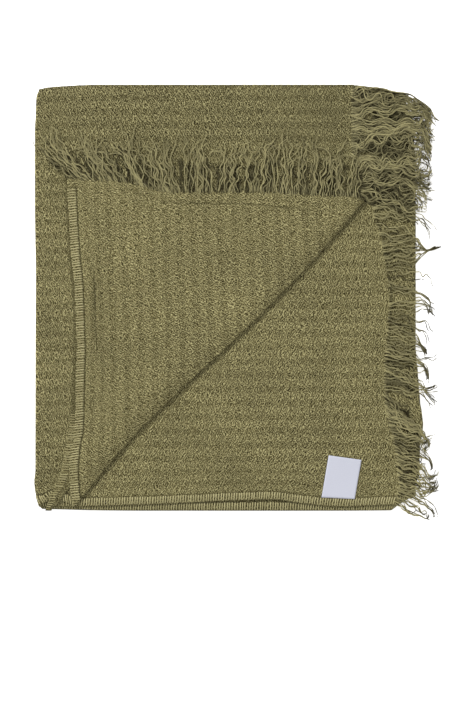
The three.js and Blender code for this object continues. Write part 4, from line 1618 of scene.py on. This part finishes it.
@dataclass(frozen=True)
class Fringe:
    """Raw warp ends past one end of the throw: strands of two yarns, drawn together in locks.

    The strands of a lock wave together. Under the locks lies a shorter layer of strands, painted darker for
    the shade there.
    Headings, in degrees from the plan's X, lengths and the under-layer's share of the strands are all
    read at the roots' places on the plan, along X or across it.
    """

    name: str
    node: str
    outer_end: bool
    start: float
    stop: float
    headings: Profile
    lengths: Profile
    rests_on: float
    seed: int
    by_x: bool = False
    thinned: Profile = steady(0.0)
    under: Profile = steady(0.45)
    under_reach: float = 0.6
    shaded_under_tones: tuple[float, float] = (0.0, 0.35)
    top_tones: tuple[float, float] = (0.55, 1.0)
    right_limit: float = 578.0
    right_room: tuple[float, float] = (10.0, 33.0)
    upper_limit: Profile = Profile(
        ((490, 626), (524, 623), (539, 618), (560, 616), (580, 606), (596, 595), (606, 578)))
    upper_room: float = 3.5
    thin_out: float = 1.0
    uneven: float = 1.0
    strand_lengths: tuple[float, float] = (-0.14, 0.05)
    lock_lengths: tuple[float, float] = (-0.16, 0.12)
    strand_pitch: float = 2.0
    strands_in_lock: float = 5.0
    drawn: float = 0.65
    drawn_from: float = 0.1
    drawn_to: float = 0.8
    straight: float = 14.0
    yarns: int = 2
    yarn_offset: float = 0.45
    inset: float = 6.0
    wave: float = 0.5
    wave_spread: tuple[float, float] = (0.4, 1.35)
    wave_length: float = 40.0
    wave_length_spread: tuple[float, float] = (0.8, 1.25)
    ripple: float = 0.35
    ripple_spread: tuple[float, float] = (0.4, 1.3)
    ripple_length: float = 21.0
    ripple_length_spread: tuple[float, float] = (0.75, 1.35)
    stray: float = 9.0
    curl: float = 1.0
    droop: float = -0.35
    pile: float = 4.0
    tip_shade: float = 0.0
    fray: float = 6.0
    yarn_tone: float = 0.16
    yarn_radius: float = 0.45
    lowest: float = 0.6
    sections: int = 30
    sides: int = 3

    def roots(self, sheet: FoldedSheet) -> Roots:
        """Roots the strands in the cloth's end and shares them out among the locks.

        Args:
            sheet: The folded sheet.

        Returns:
            The strands' roots.
        """
        rng = np.random.default_rng(self.seed)
        count = max(2, round(abs(self.stop - self.start) / self.strand_pitch))
        across = mix(self.start, self.stop, (np.arange(count) + rng.uniform(0.0, 1.0, count)) / count)
        inset = rng.uniform(0.25, 1.0, count) * self.inset
        places = sheet.lay(sheet.length - inset if self.outer_end else inset, across)
        by = places[:, 0] if self.by_x else places[:, 1]
        kept = rng.uniform(0.0, 1.0, count) >= self.thinned.at(by)
        by, count = by[kept], int(kept.sum())
        under = rng.uniform(0.0, 1.0, count) < self.under.at(by)
        lock = np.cumsum(rng.uniform(0.0, 1.0, count) < 1.0 / self.strands_in_lock)
        return Roots(rng, places[kept], by[:, None], inset[kept][:, None], under[:, None], lock - lock[0])

    def run(self, roots: Roots, part: np.ndarray) -> tuple[np.ndarray, np.ndarray, np.ndarray]:
        """Finds how the strands run. They wave with their lock, ripple on their own and curl at the tip.

        Args:
            roots: The strands' roots.
            part: Places along a strand, from 0 to 1.

        Returns:
            How far along its strand each place is, which way the strand runs there, in radians, and
            the strand's own phase.
        """
        heading = np.radians(self.headings.at(roots.by) + roots.own_stray(0.45 * self.stray))
        heading = heading + np.radians(roots.shared_stray(self.stray))
        reach = self.lengths.at(roots.by) * (1.0 + self.uneven * roots.own(*self.strand_lengths))
        reach = reach * (1.0 + self.uneven * roots.shared(*self.lock_lengths))
        gone = (np.where(roots.under, self.under_reach * reach, reach) + roots.inset) * part
        turn = 2.0 * math.pi * gone
        wave = self.wave * roots.shared(*self.wave_spread)
        phase = roots.shared(0.0, 2.0 * math.pi) + roots.own_stray(0.35)
        wave_length = self.wave_length * roots.shared(*self.wave_length_spread)
        bend = wave * np.sin(turn / wave_length + phase)
        own_phase = roots.own(0.0, 2.0 * math.pi)
        ripple_length = self.ripple_length * roots.own(*self.ripple_length_spread)
        ripple = self.ripple * roots.own(*self.ripple_spread)
        bend = bend + ripple * np.sin(turn / ripple_length + own_phase)
        tip = roots.shared_stray(self.curl) + roots.own_stray(0.6 * self.curl)
        late = np.maximum(0.0, part - 0.5) ** 2 * 4.0
        angle = heading + bend * ease(gone / self.straight) + (tip + self.droop) * late
        return gone, angle, own_phase

    def draw_together(self, roots: Roots, part: np.ndarray, x: np.ndarray, y: np.ndarray) -> None:
        """Draws the upper strands of each lock together, more and more towards their tips.

        Args:
            roots: The strands' roots.
            part: Places along a strand, from 0 to 1.
            x: Plan places of the strands, which are moved.
            y: The same places across the plan.
        """
        leads = np.where(roots.under, 1e-3, 1.0)
        leading = np.bincount(roots.lock, leads[:, 0])[:, None]
        gathered = between(part, self.drawn_from, self.drawn_to)
        pull = self.drawn * gathered * roots.shared(0.5, 1.05) * ~roots.under
        for values in (x, y):
            guide = np.zeros((roots.locks, self.sections))
            np.add.at(guide, roots.lock, values * leads)
            values += ((guide / leading)[roots.lock] - values) * pull

    def strands(self, sheet: FoldedSheet) -> tuple[np.ndarray, np.ndarray, np.ndarray]:
        """Lays the strands.

        Args:
            sheet: The folded sheet.

        Returns:
            Each strand's places, how far along it each of them is, and how light the strand is.
        """
        roots = self.roots(sheet)
        part = np.linspace(0.0, 1.0, self.sections)
        gone, angle, own_phase = self.run(roots, part)
        step = np.diff(gone, axis=1, prepend=0.0)
        x = roots.places[:, :1] + np.cumsum(np.cos(angle) * step, axis=1)
        y = roots.places[:, 1:2] + np.cumsum(np.sin(angle) * step, axis=1)
        self.draw_together(roots, part, x, y)
        past = np.maximum(x - self.right_limit, 0.0)
        most = np.maximum(past.max(axis=1, keepdims=True), 1e-6)
        room = roots.shared(*self.right_room) * roots.own(0.75, 1.1)
        x = x - past + np.minimum(room, most) * (past / most) ** self.thin_out
        y = held_in(y, self.upper_limit.at(x), self.upper_room)
        piled = np.where(roots.under, 0.15, 1.0) * self.pile * roots.own(0.25, 1.0)
        lying = sheet.resting_height(self.rests_on, x, y) + 0.5
        lying = lying + piled * (0.35 + 0.65 * np.sin(math.pi * np.clip(part * 1.15, 0.0, 1.0)))
        waving = np.sin(2.0 * math.pi * gone / 31.0 + own_phase * 1.7)
        lying = lying + 0.7 * (1.0 + waving) * ease(gone / 20.0)
        low = roots.places[:, 2:] + 0.2
        risen = mix(low, roots.places[:, 2:] + 1.2, ease(gone / (0.8 * roots.inset)))
        z = mix(risen, lying, ease((gone - roots.inset) / self.straight))
        # Under-layer strands are painted dark for the shade under the locks; top strands are lighter.
        tone = np.where(roots.under, roots.own(*self.shaded_under_tones), roots.own(*self.top_tones))
        return np.stack([x, y, z], axis=-1), np.broadcast_to(part, x.shape), tone

    def build(self, sheet: FoldedSheet, material: Material) -> Object:
        """Makes the run of fringe as one mesh.

        Args:
            sheet: The folded sheet.
            material: The yarn.

        Returns:
            The fringe.
        """
        rng = np.random.default_rng(self.seed + 100)
        strands, part, tone = self.strands(sheet)
        one = tone.shape
        up = np.array([0.0, 0.0, 1.0])
        ways = unit(np.gradient(strands, axis=1))
        across = unit(np.cross(ways, up))
        above = np.cross(across, ways)
        twist = rng.uniform(1.0, 3.0, one) * 2.0 * math.pi * part * rng.choice([-1.0, 1.0], one)
        # Painted shade darkens the strands towards their tips; a negative value paints them lighter, as
        # painted light.
        tip = self.tip_shade * ease((part - 0.55) / 0.45)
        paths, tones = [], []
        for yarn in range(self.yarns):
            angle = twist + 2.0 * math.pi * yarn / self.yarns + rng.uniform(0.0, 0.6, one)
            frayed = 1.0 + self.fray * rng.uniform(0.0, 1.0, one) ** 2 * np.maximum(0.0, part - 0.6) ** 2
            radius = self.yarn_offset * frayed
            shifted = strands + (np.cos(angle) * radius)[..., None] * across
            paths.append(shifted + (np.sin(angle) * radius * 0.8)[..., None] * above)
            tones.append(np.clip(tone + rng.normal(0.0, self.yarn_tone, one) - tip, 0.0, 1.0))
        path = np.concatenate(paths)
        path[..., 2] = np.maximum(path[..., 2], self.lowest)
        width = self.yarn_radius * (1.0 - 0.4 * np.concatenate([part] * self.yarns) ** 4)
        tubes = Tubes(path, width, width, np.broadcast_to(up, path.shape), self.sides)
        carried = {"tone": tubes.spread(np.concatenate(tones))}
        return make_piece(self.name, tubes.points(), tubes.faces(), material, carried)


@dataclass(frozen=True)
class RibbonLabel:
    """The sewn label, bare: a short ribbon caught under the overlocking, its free end a little raised."""

    sheet: FoldedSheet
    top_left: tuple[float, float] = (443.3, 78.7)
    top_right: tuple[float, float] = (492.4, 71.9)
    low_left: tuple[float, float] = (432.6, 15.6)
    low_right: tuple[float, float] = (482.3, 13.2)
    half_thickness: float = 0.22
    seat: float = 1.15
    lift: float = 1.5
    waviness: float = 0.25
    woven_wide: float = 49.0
    woven_long: float = 62.0
    steps: int = 24

    def build(self, material: Material) -> Object:
        """Makes the label.

        Args:
            material: The ribbon.

        Returns:
            The label.
        """
        part = np.linspace(0.0, 1.0, self.steps + 1)
        u, v = np.meshgrid(part, part, indexing="ij")
        left = mix(np.array(self.low_left), np.array(self.top_left), v[..., None])
        right = mix(np.array(self.low_right), np.array(self.top_right), v[..., None])
        place = mix(left, right, u[..., None])
        wavy = self.waviness * np.sin(math.pi * u * 1.3 + 0.4) * v
        height = self.sheet.level_height(4) + self.seat + self.lift * v ** 2 + wavy
        middle = self.sheet.settle(np.dstack([place, height]))
        run, rise = np.gradient(middle, axis=0), np.gradient(middle, axis=1)
        normal = unit(np.cross(run, rise)) * self.half_thickness
        points = np.concatenate([(middle + normal).reshape(-1, 3), (middle - normal).reshape(-1, 3)])
        flat = np.stack([u * self.woven_wide, v * self.woven_long, 0.0 * u], axis=-1).reshape(-1, 3)
        carried = {"weave": np.concatenate([flat, flat])}
        return make_piece("ribbon_label", points, slab_faces(self.steps, self.steps), material, carried)


@dataclass(frozen=True)
class Studio:
    """Camera, lights and floor: a flat lay on white paper, photographed from straight above."""

    plan: Plan = Plan()
    lens: float = 100.0
    sensor: float = 36.0
    look_height: float = 0.015
    floor_size: float = 6.0
    air: float = 0.42

    def camera(self) -> None:
        """Places the camera so that the photo's frame is the plan at its scale."""
        plan = self.plan
        column, row = plan.photo_columns / 2.0, plan.photo_rows / 2.0
        x = (column - plan.zero_column) * plan.mm_per_pixel
        y = (plan.zero_row - row) * plan.mm_per_pixel
        centre = plan.metres(np.array([[x, y, 0.0]]))[0]
        tall = plan.photo_rows * plan.mm_per_pixel / 1000.0
        data = bpy.data.cameras.new("camera")
        data.lens = self.lens
        data.sensor_width = self.sensor
        camera = bpy.data.objects.new("camera", data)
        camera.location = Vector((centre[0], centre[1], self.look_height + tall * self.lens / self.sensor))
        bpy.context.scene.collection.objects.link(camera)
        bpy.context.scene.camera = camera

    def light(self, name: str, place: tuple[float, float, float], size: float, power: float) -> None:
        """Adds a square soft box that faces the throw.

        Args:
            name: The light's name.
            place: Where it stands, in metres.
            size: Its side in metres.
            power: Its power in watts.
        """
        data = bpy.data.lights.new(name, "AREA")
        data.size = size
        data.energy = power
        lamp = bpy.data.objects.new(name, data)
        lamp.location = Vector(place)
        lamp.rotation_euler = (-lamp.location).to_track_quat("-Z", "Y").to_euler()
        bpy.context.scene.collection.objects.link(lamp)

    def floor(self, material: Material) -> Object:
        """Makes the paper that the throw lies on.

        Args:
            material: The paper.

        Returns:
            The floor.
        """
        half = self.floor_size / 2.0
        mesh = bpy.data.meshes.new("paper_floor")
        corners = [(-half, -half, 0.0), (half, -half, 0.0), (half, half, 0.0), (-half, half, 0.0)]
        mesh.from_pydata(corners, [], [(0, 1, 2, 3)])
        mesh.materials.append(material)
        floor = bpy.data.objects.new("paper_floor", mesh)
        bpy.context.scene.collection.objects.link(floor)
        return floor

    def build(self) -> Object:
        """Sets up the camera, the lights and the floor.

        Returns:
            The floor.
        """
        scene = bpy.context.scene
        scene.view_settings.view_transform = "Standard"
        world = bpy.data.worlds.new("studio_air")
        world.use_nodes = True
        background = world.node_tree.nodes["Background"]
        background.inputs["Color"].default_value = linear("#FFFFFF")
        background.inputs["Strength"].default_value = self.air
        scene.world = world
        self.camera()
        self.light("key_softbox", (-2.6, 2.3, 2.6), 1.5, 184.0)
        self.light("fill_softbox", (1.6, -1.0, 2.2), 1.8, 20.0)
        return self.floor(BackdropPaper().build())


def fringes(sheet: FoldedSheet) -> list[Fringe]:
    """Sizes the runs of fringe.

    Args:
        sheet: The folded sheet.

    Returns:
        The five runs: three that show, and two inside.
    """
    half = sheet.top + sheet.hairpin
    hidden = {
        "headings": steady(180.0), "lengths": steady(64.0), "under": steady(0.0), "strand_pitch": 6.0,
        "pile": 0.2, "sections": 12, "wave": 0.2, "ripple": 0.1, "curl": 0.1, "droop": 0.0}
    return [
        Fringe("fringe_right", "fringe_under_layer", True, 0.5, sheet.top - 1.0, rests_on=3.0, seed=31,
               headings=Profile(((0, -34), (7, -22), (50, -25), (150, -24), (240, -16), (300, -8),
                                 (450, -3), (633, -4))),
               lengths=Profile(((0, 60), (14, 76), (45, 92), (70, 99), (150, 105), (240, 102), (430, 92),
                                (480, 106), (633, 118))),
               thinned=Profile(((230, 0.0), (270, 0.45), (420, 0.45), (460, 0.1))),
               under=Profile(((0, 0.2), (40, 0.44), (230, 0.48), (270, 0.15), (420, 0.12), (460, 0.45))),
               under_reach=0.55, shaded_under_tones=(0.0, 0.34), top_tones=(0.5, 0.95), uneven=1.4,
               strand_pitch=1.7, strands_in_lock=6.0, drawn=0.97, drawn_from=0.45, wave=0.42,
               wave_length=34.0, ripple=0.4, droop=-0.95, curl=0.9, tip_shade=0.6, fray=0.5,
               yarn_radius=0.52),
        Fringe("fringe_top_right", "fringe_top_layer", True, half + 5.0, half + sheet.top - 462.0,
               rests_on=4.2, seed=32,
               headings=Profile(((455, -10), (500, -2), (560, 4), (600, -1), (620, -9), (633, -18))),
               lengths=Profile(((455, 104), (480, 122), (500, 138), (525, 152), (585, 159), (605, 149),
                                (622, 127), (633, 104))),
               under=steady(0.58), under_reach=0.98, shaded_under_tones=(0.0, 0.26), top_tones=(0.35, 0.94),
               uneven=0.4, strand_pitch=0.62, strands_in_lock=9.0, drawn=0.4, wave=0.95,
               wave_length=44.0, ripple=0.35, stray=8.0, droop=-0.4, curl=0.8, pile=6.0,
               tip_shade=-0.12, right_room=(13.0, 30.0), thin_out=1.6, fray=1.0, yarn_radius=0.54,
               yarn_tone=0.2, sections=36),
        Fringe("fringe_corner", "fringe_turned_corner", True, half + sheet.top - 452.0, sheet.width - 0.5,
               rests_on=5.0, seed=33, by_x=True,
               headings=Profile(((40, 134), (90, 126), (160, 106), (260, 92), (380, 86), (495, 92))),
               lengths=Profile(((50, 78), (90, 92), (200, 86), (495, 86))),
               under=Profile(((50, 0.68), (150, 0.52))), shaded_under_tones=(0.0, 0.2), strand_pitch=1.3,
               strands_in_lock=3.5, drawn=0.35, wave=0.45, wave_length=30.0, droop=0.0, curl=1.2),
        Fringe("fringe_inside_lower", "fringe_inner_lower", False, 3.0, sheet.top - 12.0,
               rests_on=-0.25, seed=34, **hidden),
        Fringe("fringe_inside_upper", "fringe_inner_upper", False, half + 12.0, sheet.width - 3.0,
               rests_on=-0.1, seed=35, **hidden),
    ]


def main() -> None:
    """Builds the throw and its studio, and declares each piece to the frame."""
    logging.basicConfig(level=logging.INFO, format="%(name)s: %(message)s")
    sheet = FoldedSheet()
    floor = Studio().build()
    ply = EdgePly(sheet)
    cloth = ThrowCloth(sheet, ply, WashedLinen()).build()
    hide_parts("throw_cloth")
    # Loops under other layers, and all of the ply's, are painted darker for their shadow.
    edges = [
        Overlocking(sheet, sheet.length, shaded_to=sheet.knots[4], lowest_tone=0.6),
        Overlocking(
            sheet, sheet.length - sheet.plain_corner, sheet.width, reach=13.9, shaded_to=sheet.knots[4],
            lowest_tone=0.4, seed=22),
        Overlocking(ply, ply.sewn_to_show, over=0.6, lowest=0.4, shaded_to=ply.length, shade=0.25, seed=23),
    ]
    thread = LinenYarn("overlock_thread", "#BAB285", "#837B52").build()
    stitches = make_tubes("overlock_stitches", [edge.loops() for edge in edges], thread)
    yarn = LinenYarn("linen_warp_yarn", "#BAB283", "#252009").build()
    runs = []
    for fringe in fringes(sheet):
        run = fringe.build(sheet, yarn)
        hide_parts(fringe.node)
        runs.append(run)
    label = RibbonLabel(sheet).build(SatinRibbon().build())
    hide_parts("side_label")
    for piece in (cloth, stitches, label, *runs):
        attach(piece, "root")
        LOG.info("%s rides on root", piece.name)


if __name__ == "__main__":
    main()
